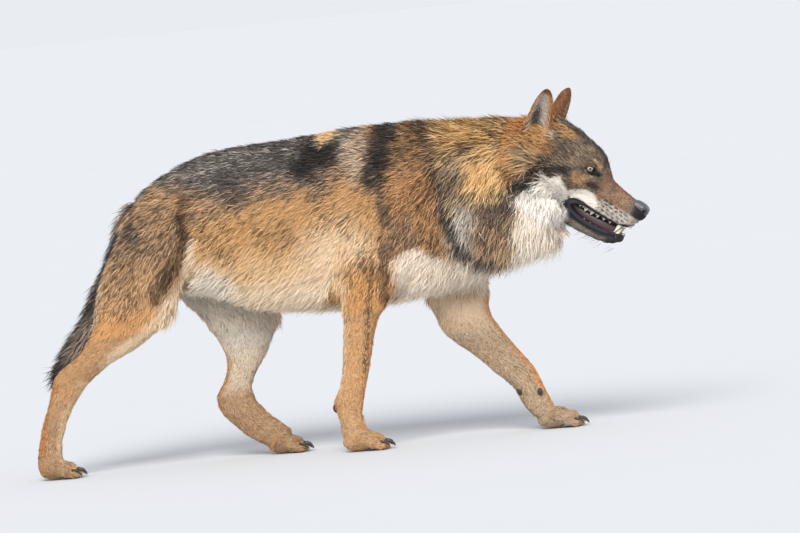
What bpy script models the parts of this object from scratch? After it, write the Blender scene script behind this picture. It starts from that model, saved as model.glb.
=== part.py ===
"""A grey wolf in its winter coat, walking: a still, life-size model.

Metres, +Z up, +X the way the wolf walks, so its right side faces -Y. The solids reach
out to the tips of the coat. The body, the legs and the head are lofted from a few
sections each, fused and smoothed into one form, and parted by thin cuts into the pieces
that a person would name. All four paws stand on small flats at one level. The origin is
the bottom centre of the whole model's box.
"""

import math

import bmesh
import bpy
from mathutils import Matrix, Vector

# ------------------------------------------------------------------ driving sizes
GAP = 0.0003                    # the thin cut between neighbours
BODY_VOXEL = 0.0065             # resolution at which the body is fused
HEAD_VOXEL = 0.0032
PAW_VOXEL = 0.0028
BODY_TRIANGLES = 2600
HEAD_TRIANGLES = 1250
PAW_TRIANGLES = 380
TAIL_TRIANGLES = 260

HEAD_AT = Vector((0.530, 0.0, 0.655))    # the head's own origin, between the ears
HEAD_PITCH = math.radians(38)            # nose down
HEAD_YAW = math.radians(-12)             # nose to the wolf's right

EYE_RADIUS = 0.0118
EYE_AT = (0.1420, 0.0370, 0.0085)        # left eye in the head's frame
EYE_OUTWARD = math.radians(52)           # from straight ahead
EYE_OPENING = (0.0175, 0.0065)           # half length and half height between the lids

FORE_REACH_SWING = math.radians(5.5)     # the reaching foreleg swung down onto the floor
FORE_REACH_PIVOT = (0.270, 0.310)
FORE_REACH_SINK = 0.014

PAW_TOE_SPREAD = (-0.0290, -0.0100, 0.0100, 0.0290)
PAW_TOE_REACH = (0.80, 1.0, 1.0, 0.80)

COATS = {                       # base colour, roughness
    "saddle": ((0.115, 0.088, 0.066), 0.85),
    "tan": ((0.420, 0.265, 0.135), 0.85),
    "cream": ((0.620, 0.515, 0.390), 0.85),
    "ochre": ((0.450, 0.240, 0.090), 0.85),
    "dark": ((0.060, 0.048, 0.040), 0.85),
    "nose": ((0.020, 0.019, 0.021), 0.35),
    "eye": ((0.480, 0.430, 0.230), 0.08),
    "claw": ((0.030, 0.026, 0.023), 0.35),
    "tongue": ((0.420, 0.150, 0.140), 0.40),
}


# ------------------------------------------------------------------ helpers
def coat_material(name):
    """The Principled material of one coat colour, made once."""
    known = bpy.data.materials.get(name)
    if known:
        return known
    colour, roughness = COATS[name]
    material = bpy.data.materials.new(name)
    material.use_nodes = True
    shader = material.node_tree.nodes["Principled BSDF"]
    shader.inputs["Base Color"].default_value = (*colour, 1.0)
    shader.inputs["Roughness"].default_value = roughness
    material.diffuse_color = (*colour, 1.0)
    return material


def add_object(name, mesh):
    """A new object of this mesh, in the scene."""
    piece = bpy.data.objects.new(name, mesh)
    bpy.context.scene.collection.objects.link(piece)
    return piece


def mesh_from(bm, name):
    """A mesh of this bmesh, with its faces turned out."""
    bmesh.ops.recalc_face_normals(bm, faces=bm.faces)
    mesh = bpy.data.meshes.new(name)
    bm.to_mesh(mesh)
    bm.free()
    return mesh


def smooth_row(rows, parts):
    """Rows of numbers with Catmull-Rom rows between each two, `parts` to a span."""
    out = []
    for i in range(len(rows) - 1):
        before = rows[max(i - 1, 0)]
        here, there = rows[i], rows[i + 1]
        after = rows[min(i + 2, len(rows) - 1)]
        for k in range(parts):
            t = k / parts
            out.append(tuple(
                0.5 * (2 * b + (c - a) * t + (2 * a - 5 * b + 4 * c - d) * t * t
                       + (3 * b - a - 3 * c + d) * t ** 3)
                for a, b, c, d in zip(before, here, there, after)))
    out.append(tuple(rows[-1]))
    return out


def loft(name, stations, frame=Matrix.Identity(4), sides=24, parts=3, square=2.2):
    """A closed tube through sections with rounded ends.

    A station is (upper x, upper z, lower x, lower z, middle y, half width, low): the
    section spans from its upper (or front) point to its lower (or back) point, in a
    plane across the body. `low` above 0 puts its widest place nearer the lower point,
    and `square` above 2 makes every section boxier.
    """
    rows = smooth_row(stations, parts)
    rings = []
    for ux, uz, lx, lz, y, half, low in rows:
        upper, lower = Vector((ux, y, uz)), Vector((lx, y, lz))
        rings.append(((upper + lower) / 2, (upper - lower) / 2, half, low))
    ends = []
    for index, towards in ((0, 1), (-1, -2)):
        centre, arm, half, low = rings[index]
        outward = (centre - rings[towards][0]).normalized()
        reach = min(arm.length, half) * 0.55
        ends.append([(centre + outward * reach * math.sin(a), arm * math.cos(a),
                      half * math.cos(a), low)
                     for a in (math.radians(30), math.radians(58), math.radians(80))])
    rings = ends[0][::-1] + rings + ends[1]

    bm = bmesh.new()
    loops = []
    for centre, arm, half, low in rings:
        loop = []
        for k in range(sides):
            angle = 2 * math.pi * k / sides
            c, s = math.cos(angle), math.sin(angle)
            stretch = (abs(c) ** square + abs(s) ** square) ** (-1 / square)
            across = half * s * stretch * (1 - low * c)
            point = centre + arm * c * stretch + Vector((0, across, 0))
            loop.append(bm.verts.new(frame @ point))
        loops.append(loop)
    for a, b in zip(loops, loops[1:]):
        for k in range(sides):
            bm.faces.new((a[k], a[(k + 1) % sides], b[(k + 1) % sides], b[k]))
    bm.faces.new(loops[0])
    bm.faces.new(loops[-1])
    return add_object(name, mesh_from(bm, name))


def ball(name, centre, radii, frame=Matrix.Identity(4), turn=Matrix.Identity(4),
         rings=12, segments=18):
    """An ellipsoid, its radii along its own axes, which `turn` rotates."""
    bm = bmesh.new()
    place = frame @ Matrix.Translation(centre) @ turn @ Matrix.Diagonal((*radii, 1))
    bmesh.ops.create_uvsphere(bm, u_segments=segments, v_segments=rings, radius=1, matrix=place)
    return add_object(name, mesh_from(bm, name))


def horn(name, path, radius, frame=Matrix.Identity(4), sides=7):
    """A tapered, pointed spike along a list of points, such as a claw or a tooth."""
    bm = bmesh.new()
    points = [Vector(p) for p in path]
    loops = []
    side = (points[1] - points[0]).orthogonal()
    for i, point in enumerate(points[:-1]):
        along = (points[i + 1] - point).normalized()
        side = (side - along * side.dot(along)).normalized()
        up = along.cross(side)
        size = radius * (1 - 0.85 * i / (len(points) - 1))
        loops.append([bm.verts.new(frame @ (point + size * (side * math.cos(a) + up * math.sin(a))))
                      for a in (2 * math.pi * k / sides for k in range(sides))])
    tip = bm.verts.new(frame @ points[-1])
    for a, b in zip(loops, loops[1:]):
        for k in range(sides):
            bm.faces.new((a[k], a[(k + 1) % sides], b[(k + 1) % sides], b[k]))
    for k in range(sides):
        bm.faces.new((loops[-1][k], loops[-1][(k + 1) % sides], tip))
    bm.faces.new(loops[0])
    return add_object(name, mesh_from(bm, name))


def settle(piece):
    """Apply the modifiers of a piece to its mesh."""
    graph = bpy.context.evaluated_depsgraph_get()
    mesh = bpy.data.meshes.new_from_object(piece.evaluated_get(graph), depsgraph=graph)
    piece.modifiers.clear()
    piece.data = mesh
    return piece


def discard(piece):
    bpy.data.objects.remove(piece)


def fuse(name, pieces, voxel, triangles, rounds):
    """One smooth closed form of several overlapping ones."""
    bm = bmesh.new()
    for piece in pieces:
        bm.from_mesh(piece.data)
    whole = add_object(name, mesh_from(bm, name))
    remesh = whole.modifiers.new("fuse", "REMESH")
    remesh.mode = "VOXEL"
    remesh.voxel_size = voxel
    relax = whole.modifiers.new("relax", "SMOOTH")
    relax.factor = 0.5
    relax.iterations = rounds
    settle(whole)
    count = sum(len(face.vertices) - 2 for face in whole.data.polygons)
    thin = whole.modifiers.new("thin", "DECIMATE")
    thin.ratio = min(1.0, triangles / count)
    return settle(whole)


def boolean(piece, tool, operation):
    """Change the piece by the tool, and leave the tool as it is."""
    cut = piece.modifiers.new("cut", "BOOLEAN")
    cut.operation = operation
    cut.object = tool
    cut.solver = "EXACT"
    return settle(piece)


def grown(piece, by=GAP):
    """A copy of the piece, its surface moved outwards."""
    copy = add_object(piece.name + "_grown", piece.data.copy())
    swell = copy.modifiers.new("swell", "DISPLACE")
    swell.mid_level = 0.0
    swell.strength = by
    return settle(copy)


def offset_outline(outline, by):
    """A counterclockwise outline moved outwards by a distance, with mitred corners."""
    out = []
    for i, here in enumerate(outline):
        before = Vector(outline[i - 1])
        here = Vector(here)
        after = Vector(outline[(i + 1) % len(outline)])
        a, b = (here - before).normalized(), (after - here).normalized()
        normal_a, normal_b = Vector((a.y, -a.x)), Vector((b.y, -b.x))
        out.append(here + (normal_a + normal_b) * by / (1 + normal_a.dot(normal_b)))
    return out


def prism(name, outline, y_range, by=0.0, frame=Matrix.Identity(4)):
    """A block with this (x, z) outline, between two values of y, all grown by `by`."""
    points = [Vector(p) for p in outline]
    area = sum(p.x * q.y - q.x * p.y for p, q in zip(points, points[1:] + points[:1]))
    if area < 0:
        points.reverse()
    points = offset_outline(points, by)
    low, high = min(y_range) - by, max(y_range) + by
    bm = bmesh.new()
    near = [bm.verts.new(frame @ Vector((p.x, low, p.y))) for p in points]
    far = [bm.verts.new(frame @ Vector((p.x, high, p.y))) for p in points]
    bm.faces.new(near)
    bm.faces.new(far)
    for k in range(len(points)):
        n = (k + 1) % len(points)
        bm.faces.new((near[k], near[n], far[n], far[k]))
    return add_object(name, mesh_from(bm, name))


def largest_body(piece):
    """Keep only the largest of a piece's separate bodies."""
    bm = bmesh.new()
    bm.from_mesh(piece.data)
    bmesh.ops.remove_doubles(bm, verts=bm.verts, dist=1e-6)
    left = set(bm.verts)
    bodies = []
    while left:
        seed = left.pop()
        body, edge = {seed}, [seed]
        while edge:
            for link in edge.pop().link_edges:
                for vert in link.verts:
                    if vert in left:
                        left.remove(vert)
                        body.add(vert)
                        edge.append(vert)
        bodies.append(body)
    bodies.sort(key=len)
    strays = [vert for body in bodies[:-1] for vert in body]
    bmesh.ops.delete(bm, geom=strays, context="VERTS")
    bm.to_mesh(piece.data)
    bm.free()
    return piece


def part_off(rest, name, outline, y_range, frame=Matrix.Identity(4)):
    """Cut the block's share of `rest` off as a new piece, with a thin gap between."""
    exact = prism("cutter", outline, y_range, 0.0, frame)
    wide = prism("cutter_wide", outline, y_range, GAP, frame)
    piece = boolean(add_object(name, rest.data.copy()), exact, "INTERSECT")
    boolean(rest, wide, "DIFFERENCE")
    discard(exact)
    discard(wide)
    return largest_body(piece)


# ------------------------------------------------------------------ body sections
# (upper x, upper z, lower x, lower z, middle y, half width, low)
TRUNK = [
    (-0.395, 0.580, -0.375, 0.500, 0, 0.040, 0.05),
    (-0.360, 0.618, -0.345, 0.430, 0, 0.074, 0.05),
    (-0.300, 0.655, -0.290, 0.392, 0, 0.094, 0.05),
    (-0.220, 0.685, -0.215, 0.375, 0, 0.104, 0.05),
    (-0.130, 0.698, -0.120, 0.338, 0, 0.110, 0.05),
    (-0.020, 0.703, -0.010, 0.322, 0, 0.116, 0.05),
    (0.090, 0.714, 0.100, 0.318, 0, 0.121, 0.05),
    (0.190, 0.717, 0.205, 0.325, 0, 0.120, 0.05),
    (0.280, 0.714, 0.300, 0.345, 0, 0.115, 0.05),
    (0.340, 0.690, 0.360, 0.385, 0, 0.095, 0.05),
]
NECK = [
    (0.200, 0.712, 0.260, 0.350, 0, 0.105, 0.05),
    (0.300, 0.714, 0.345, 0.363, 0, 0.120, 0.05),
    (0.385, 0.710, 0.430, 0.379, -0.001, 0.130, 0.05),
    (0.455, 0.707, 0.500, 0.396, -0.004, 0.130, 0.12),
    (0.500, 0.704, 0.548, 0.408, -0.009, 0.119, 0.24),
    (0.532, 0.680, 0.572, 0.440, -0.014, 0.100, 0.26),
]
TAIL = [
    (-0.395, 0.598, -0.325, 0.560, 0, 0.035, 0),
    (-0.422, 0.562, -0.345, 0.520, 0, 0.041, 0),
    (-0.446, 0.505, -0.365, 0.475, 0, 0.045, 0),
    (-0.483, 0.430, -0.405, 0.400, 0.002, 0.046, 0),
    (-0.530, 0.348, -0.455, 0.312, 0.004, 0.044, 0),
    (-0.578, 0.282, -0.505, 0.245, 0.005, 0.039, 0),
    (-0.603, 0.240, -0.550, 0.205, 0.006, 0.028, 0),
    (-0.606, 0.212, -0.585, 0.192, 0.006, 0.012, 0),
]

# the legs: (front x, front z, back x, back z, middle y, half width, low), the right side's y
FORE_STANDING = [
    (0.290, 0.620, 0.150, 0.630, -0.062, 0.040, 0),
    (0.285, 0.520, 0.105, 0.530, -0.074, 0.050, 0),
    (0.245, 0.420, 0.068, 0.440, -0.080, 0.047, 0),
    (0.190, 0.345, 0.068, 0.375, -0.080, 0.038, 0),
    (0.153, 0.300, 0.066, 0.305, -0.077, 0.031, 0),
    (0.134, 0.255, 0.057, 0.252, -0.074, 0.0275, 0),
    (0.119, 0.192, 0.049, 0.192, -0.071, 0.0260, 0),
    (0.108, 0.155, 0.040, 0.150, -0.069, 0.0270, 0),
    (0.096, 0.119, 0.023, 0.115, -0.068, 0.0275, 0),
    (0.089, 0.085, 0.030, 0.078, -0.067, 0.0260, 0),
    (0.092, 0.052, 0.036, 0.035, -0.066, 0.0290, 0),
]
FORE_REACHING = [
    (0.345, 0.600, 0.190, 0.610, -0.062, 0.040, 0),
    (0.380, 0.500, 0.200, 0.470, -0.074, 0.048, 0),
    (0.388, 0.390, 0.225, 0.375, -0.078, 0.046, 0),
    (0.383, 0.315, 0.255, 0.300, -0.076, 0.038, 0),
    (0.400, 0.275, 0.278, 0.245, -0.073, 0.032, 0),
    (0.447, 0.218, 0.345, 0.197, -0.070, 0.0275, 0),
    (0.477, 0.186, 0.391, 0.159, -0.067, 0.0265, 0),
    (0.500, 0.146, 0.430, 0.130, -0.065, 0.0275, 0),
    (0.515, 0.112, 0.449, 0.098, -0.064, 0.0270, 0),
    (0.528, 0.086, 0.476, 0.066, -0.063, 0.0290, 0),
]
HIND_PUSHING = [
    (-0.225, 0.600, -0.375, 0.575, -0.050, 0.038, 0),
    (-0.228, 0.545, -0.412, 0.528, -0.062, 0.050, 0),
    (-0.258, 0.486, -0.438, 0.485, -0.069, 0.052, 0),
    (-0.275, 0.437, -0.462, 0.438, -0.073, 0.050, 0),
    (-0.289, 0.390, -0.479, 0.388, -0.076, 0.046, 0),
    (-0.307, 0.344, -0.490, 0.340, -0.078, 0.040, 0),
    (-0.342, 0.311, -0.500, 0.308, -0.078, 0.035, 0),
    (-0.400, 0.270, -0.530, 0.272, -0.076, 0.030, 0),
    (-0.455, 0.244, -0.566, 0.249, -0.073, 0.0265, 0),
    (-0.497, 0.215, -0.590, 0.227, -0.071, 0.0255, 0),
    (-0.524, 0.188, -0.604, 0.185, -0.070, 0.0240, 0),
    (-0.545, 0.160, -0.614, 0.157, -0.069, 0.0225, 0),
    (-0.567, 0.122, -0.627, 0.122, -0.068, 0.0220, 0),
    (-0.581, 0.083, -0.640, 0.075, -0.067, 0.0245, 0),
    (-0.585, 0.052, -0.646, 0.030, -0.066, 0.0285, 0),
]
HIND_FORWARD = [
    (-0.190, 0.600, -0.345, 0.585, -0.050, 0.038, 0),
    (-0.140, 0.525, -0.370, 0.510, -0.062, 0.050, 0),
    (-0.105, 0.440, -0.345, 0.430, -0.070, 0.052, 0),
    (-0.086, 0.365, -0.312, 0.370, -0.074, 0.048, 0),
    (-0.088, 0.318, -0.268, 0.318, -0.075, 0.042, 0),
    (-0.107, 0.268, -0.234, 0.264, -0.074, 0.035, 0),
    (-0.128, 0.220, -0.219, 0.218, -0.072, 0.029, 0),
    (-0.151, 0.182, -0.228, 0.178, -0.070, 0.0260, 0),
    (-0.162, 0.152, -0.249, 0.140, -0.069, 0.0250, 0),
    (-0.154, 0.122, -0.243, 0.104, -0.068, 0.0240, 0),
    (-0.132, 0.096, -0.212, 0.068, -0.067, 0.0230, 0),
    (-0.106, 0.074, -0.180, 0.040, -0.066, 0.0250, 0),
    (-0.088, 0.056, -0.150, 0.022, -0.065, 0.0280, 0),
]

# the head in its own frame: (x, top z, bottom z, half width, low)
SKULL = [
    (-0.060, 0.012, -0.100, 0.070, 0.20),
    (-0.020, 0.048, -0.122, 0.084, 0.34),
    (0.030, 0.071, -0.130, 0.089, 0.40),
    (0.070, 0.068, -0.130, 0.085, 0.36),
    (0.108, 0.061, -0.127, 0.074, 0.26),
    (0.135, 0.055, -0.100, 0.063, 0.16),
    (0.152, 0.047, -0.074, 0.054, 0.12),
    (0.165, 0.037, -0.069, 0.0470, 0.10),
    (0.180, 0.023, -0.068, 0.0410, 0.10),
    (0.197, 0.010, -0.068, 0.0370, 0.12),
    (0.230, 0.004, -0.068, 0.0340, 0.14),
    (0.262, 0.001, -0.063, 0.0310, 0.12),
    (0.284, -0.001, -0.050, 0.0260, 0.05),
    (0.294, -0.005, -0.034, 0.0190, 0.00),
]
JAW = [
    (0.085, -0.084, -0.131, 0.050, 0),
    (0.135, -0.088, -0.132, 0.043, 0),
    (0.158, -0.091, -0.131, 0.036, 0),
    (0.183, -0.096, -0.130, 0.0310, 0),
    (0.212, -0.097, -0.126, 0.0275, 0),
    (0.240, -0.094, -0.121, 0.0245, 0),
    (0.266, -0.086, -0.113, 0.0215, 0),
    (0.280, -0.083, -0.102, 0.0150, 0),
]
TONGUE = [
    (0.128, -0.082, -0.099, 0.0150, 0),
    (0.168, -0.085, -0.101, 0.0155, 0),
    (0.208, -0.088, -0.103, 0.0150, 0),
    (0.240, -0.086, -0.099, 0.0130, 0),
    (0.251, -0.085, -0.094, 0.0085, 0),
]

# cuts, as (x, z) outlines seen from the side; those of the head are in its own frame
HEAD_CUT = [
    (-0.075, 0.200), (-0.066, 0.040), (-0.020, -0.070), (0.050, -0.122), (0.137, -0.1330),
    (0.360, -0.1330), (0.360, 0.200),
]
JAW_CUT = [
    (0.1455, -0.0810), (0.210, -0.0820), (0.266, -0.0715), (0.335, -0.0600), (0.335, -0.150),
    (0.137, -0.150),
]
NOSE_CUT = [
    (0.279, 0.020), (0.2715, -0.010), (0.283, -0.024), (0.303, -0.034), (0.330, -0.034),
    (0.330, 0.020),
]
NECK_CUT = [
    (0.285, 0.90), (0.285, 0.56), (0.335, 0.40), (0.350, 0.25), (0.90, 0.25), (0.90, 0.90),
]
ANKLE_CUT = [                   # from the heel of the paw
    (-0.09, -0.05), (-0.09, 0.056), (0.13, 0.062), (0.20, 0.030), (0.20, -0.05),
]
ELBOW_CUT = [(0.0, 0.0), (0.70, 0.0), (0.70, 0.318), (0.0, 0.318)]
KNEE_CUT_PUSHING = [
    (-0.75, 0.0), (0.0, 0.0), (0.0, 0.306), (-0.27, 0.335), (-0.54, 0.300), (-0.75, 0.300),
]
KNEE_CUT_FORWARD = [(-0.75, 0.0), (0.0, 0.0), (0.0, 0.306), (-0.30, 0.300), (-0.75, 0.300)]
SHOULDER_STANDING = [
    (0.020, 0.318), (0.058, 0.400), (0.085, 0.490), (0.150, 0.545), (0.235, 0.535),
    (0.275, 0.470), (0.262, 0.400), (0.215, 0.345), (0.190, 0.318),
]
SHOULDER_REACHING = [
    (0.225, 0.318), (0.210, 0.390), (0.205, 0.480), (0.255, 0.540), (0.345, 0.520),
    (0.392, 0.440), (0.405, 0.370), (0.420, 0.318),
]
THIGH_PUSHING = [
    (-0.440, 0.560), (-0.345, 0.600), (-0.262, 0.575), (-0.228, 0.505), (-0.250, 0.420),
    (-0.270, 0.335), (-0.540, 0.300),
]
THIGH_FORWARD = [
    (-0.395, 0.540), (-0.300, 0.590), (-0.200, 0.570), (-0.110, 0.470), (-0.060, 0.370),
    (-0.060, 0.306), (-0.300, 0.300), (-0.345, 0.370),
]


def across_head(rows):
    """Head sections as loft stations in the head's frame."""
    return [(x, top, x, bottom, 0.0, half, low) for x, top, bottom, half, low in rows]


def swing(stations, pivot, angle, sink):
    """Leg sections below the elbow turned about it, toes down, and lowered."""
    c, s = math.cos(angle), math.sin(angle)

    def moved(x, z, share):
        dx, dz = x - pivot[0], z - pivot[1]
        to_x, to_z = pivot[0] + dx * c + dz * s, pivot[1] - dx * s + dz * c - sink
        return x + (to_x - x) * share, z + (to_z - z) * share

    out = []
    for fx, fz, bx, bz, *rest in stations:
        share = min(1.0, max(0.0, (0.45 - (fz + bz) / 2) / 0.12))
        out.append((*moved(fx, fz, share), *moved(bx, bz, share), *rest))
    return out


def on_side(stations, side):
    """Stations of the right side (-1) or the left side (+1)."""
    return [(fx, fz, bx, bz, -side * y, half, low) for fx, fz, bx, bz, y, half, low in stations]


# ------------------------------------------------------------------ pieces
def paw_forms(name, heel, y, length, width):
    """The overlapping forms of a planted paw: its palm and four bent toes."""
    forms = [ball(name, (heel + 0.40 * length, y, 0.0230), (0.36 * length, 0.44 * width, 0.0262))]
    for spread, reach in zip(PAW_TOE_SPREAD, PAW_TOE_REACH):
        across = y + spread * width / 0.080
        tip = heel + length * (0.60 + 0.40 * reach)
        for back, height, size in ((0.052, 0.031, (0.022, 0.0125, 0.017)),
                                   (0.031, 0.022, (0.020, 0.0114, 0.018)),
                                   (0.014, 0.0095, (0.014, 0.0102, 0.0127))):
            forms.append(ball(name, (tip - back, across, height), size))
    return forms


def fine_paw(name, sections, paw, outline, y_range, ground):
    """A planted paw, fused finely enough to show its toes, cut off at the ankle."""
    forms = paw_forms(name, *paw) + [loft(name, sections[-4:])]
    whole = fuse(name, forms, PAW_VOXEL, PAW_TRIANGLES, 3)
    boolean(whole, ground, "DIFFERENCE")
    keep = prism("keep", outline, y_range)
    boolean(whole, keep, "INTERSECT")
    discard(keep)
    return largest_body(whole)


def claw_paths(heel, y, length, width):
    """The routes of a paw's four claws, root to tip."""
    paths = []
    for spread, reach in zip(PAW_TOE_SPREAD, PAW_TOE_REACH):
        across = y + spread * width / 0.080
        tip = heel + length * (0.60 + 0.40 * reach)
        paths.append([(tip - 0.010, across, 0.0175), (tip + 0.003, across, 0.0145),
                      (tip + 0.010, across, 0.0050)])
    return paths


def ear(name, side, frame):
    """A pricked ear: a cupped leaf, rounded at its tip, opening outwards and forwards."""
    bm = bmesh.new()
    rows, columns = 9, 6
    length, half_width, cup, thick = 0.138, 0.0370, 0.024, 0.0085
    root = Vector((0.010, side * 0.064, -0.016))
    tip = Vector((-0.0205, side * 0.078, 0.108))
    up = (tip - root).normalized()
    opening = Vector((0.62, side * 0.78, 0.05))
    opening = (opening - up * opening.dot(up)).normalized()
    over = up.cross(opening)
    grids = []
    for layer in (0, 1):
        grid = []
        for i in range(rows + 1):
            v = i / rows
            share = (1 - v ** 2.8) ** 0.55 * (0.88 + 0.30 * v - 0.16 * v * v)
            line = []
            for j in range(columns + 1):
                u = 2 * j / columns - 1
                depth = cup * (1 - 0.55 * v) * (1 - u * u)
                body = thick * (1 - 0.45 * v) * (1 - 0.75 * u * u) * (1 - v ** 6)
                push = -depth - (body if layer else 0)
                point = root + up * length * v + over * half_width * share * u + opening * push
                line.append(point)
            grid.append(line)
        grids.append(grid)
    made = {}

    def vert(layer, i, j):
        at_tip = i == rows
        edge = j in (0, columns) or at_tip
        key = "tip" if at_tip else (0 if edge else layer, i, j)
        if key not in made:
            point, other = grids[layer][i][j], grids[1 - layer][i][j]
            made[key] = bm.verts.new(frame @ ((point + other) / 2 if edge else point))
        return made[key]

    for layer in (0, 1):
        for i in range(rows):
            for j in range(columns):
                corners = [vert(layer, i, j), vert(layer, i, j + 1)]
                if i < rows - 1:
                    corners += [vert(layer, i + 1, j + 1), vert(layer, i + 1, j)]
                else:
                    corners.append(vert(layer, rows, j))
                bm.faces.new(corners if layer else corners[::-1])
    bm.faces.new([vert(0, 0, j) for j in range(columns + 1)]
                 + [vert(1, 0, j) for j in range(columns - 1, 0, -1)])
    bmesh.ops.triangulate(bm, faces=bm.faces)
    return add_object(name, mesh_from(bm, name))


def eye_turn(side):
    """The eye's own axes: x out along the gaze, y along the opening."""
    return Matrix.Rotation(side * EYE_OUTWARD, 4, "Z") @ Matrix.Rotation(math.radians(-6), 4, "Y")


def upper_teeth():
    """Root, tip and radius of each upper tooth of one side: the canine, then the cheek teeth."""
    teeth = [((0.263, 0.0190, -0.054), (0.261, 0.0185, -0.084), 0.0048)]
    for k in range(6):
        x = 0.241 - 0.0150 * k
        size = (0.0040, 0.0044, 0.0050, 0.0062, 0.0054, 0.0042)[k]
        drop = (0.005, 0.007, 0.009, 0.013, 0.010, 0.008)[k]
        y = 0.0205 + 0.0012 * k
        teeth.append(((x, y, -0.062), (x - 0.001, y, -0.069 - drop), size))
    return teeth


def lower_teeth():
    """Root, tip and radius of each lower tooth of one side: canine, incisors, cheek teeth."""
    teeth = [((0.267, 0.0125, -0.092), (0.2735, 0.0150, -0.0635), 0.0045),
             ((0.277, 0.0070, -0.092), (0.281, 0.0075, -0.0765), 0.0026),
             ((0.279, 0.0025, -0.092), (0.283, 0.0025, -0.0770), 0.0026)]
    for k in range(4):
        x = 0.246 - 0.0155 * k
        size = (0.0036, 0.0040, 0.0046, 0.0052)[k]
        teeth.append(((x, 0.0190 + 0.0012 * k, -0.102),
                      (x, 0.0200 + 0.0012 * k, -0.0900 - 0.0008 * k), size))
    return teeth


def add_teeth(piece, teeth, frame):
    """Join pointed teeth of both sides to a jaw."""
    for root, tip, radius in teeth:
        for side in (-1, 1):
            path = [(x, side * y, z) for x, y, z in (root, tip)]
            tooth = horn("tooth", path, radius, frame, sides=5)
            boolean(piece, tooth, "UNION")
            discard(tooth)


def finish_piece(piece, coat, shade_angle=50):
    """The piece's material and smooth shading."""
    piece.data.materials.clear()
    piece.data.materials.append(coat_material(coat))
    for face in piece.data.polygons:
        face.material_index = 0
    piece.data.shade_smooth()
    piece.data.set_sharp_from_angle(angle=math.radians(shade_angle))
    return piece


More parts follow.
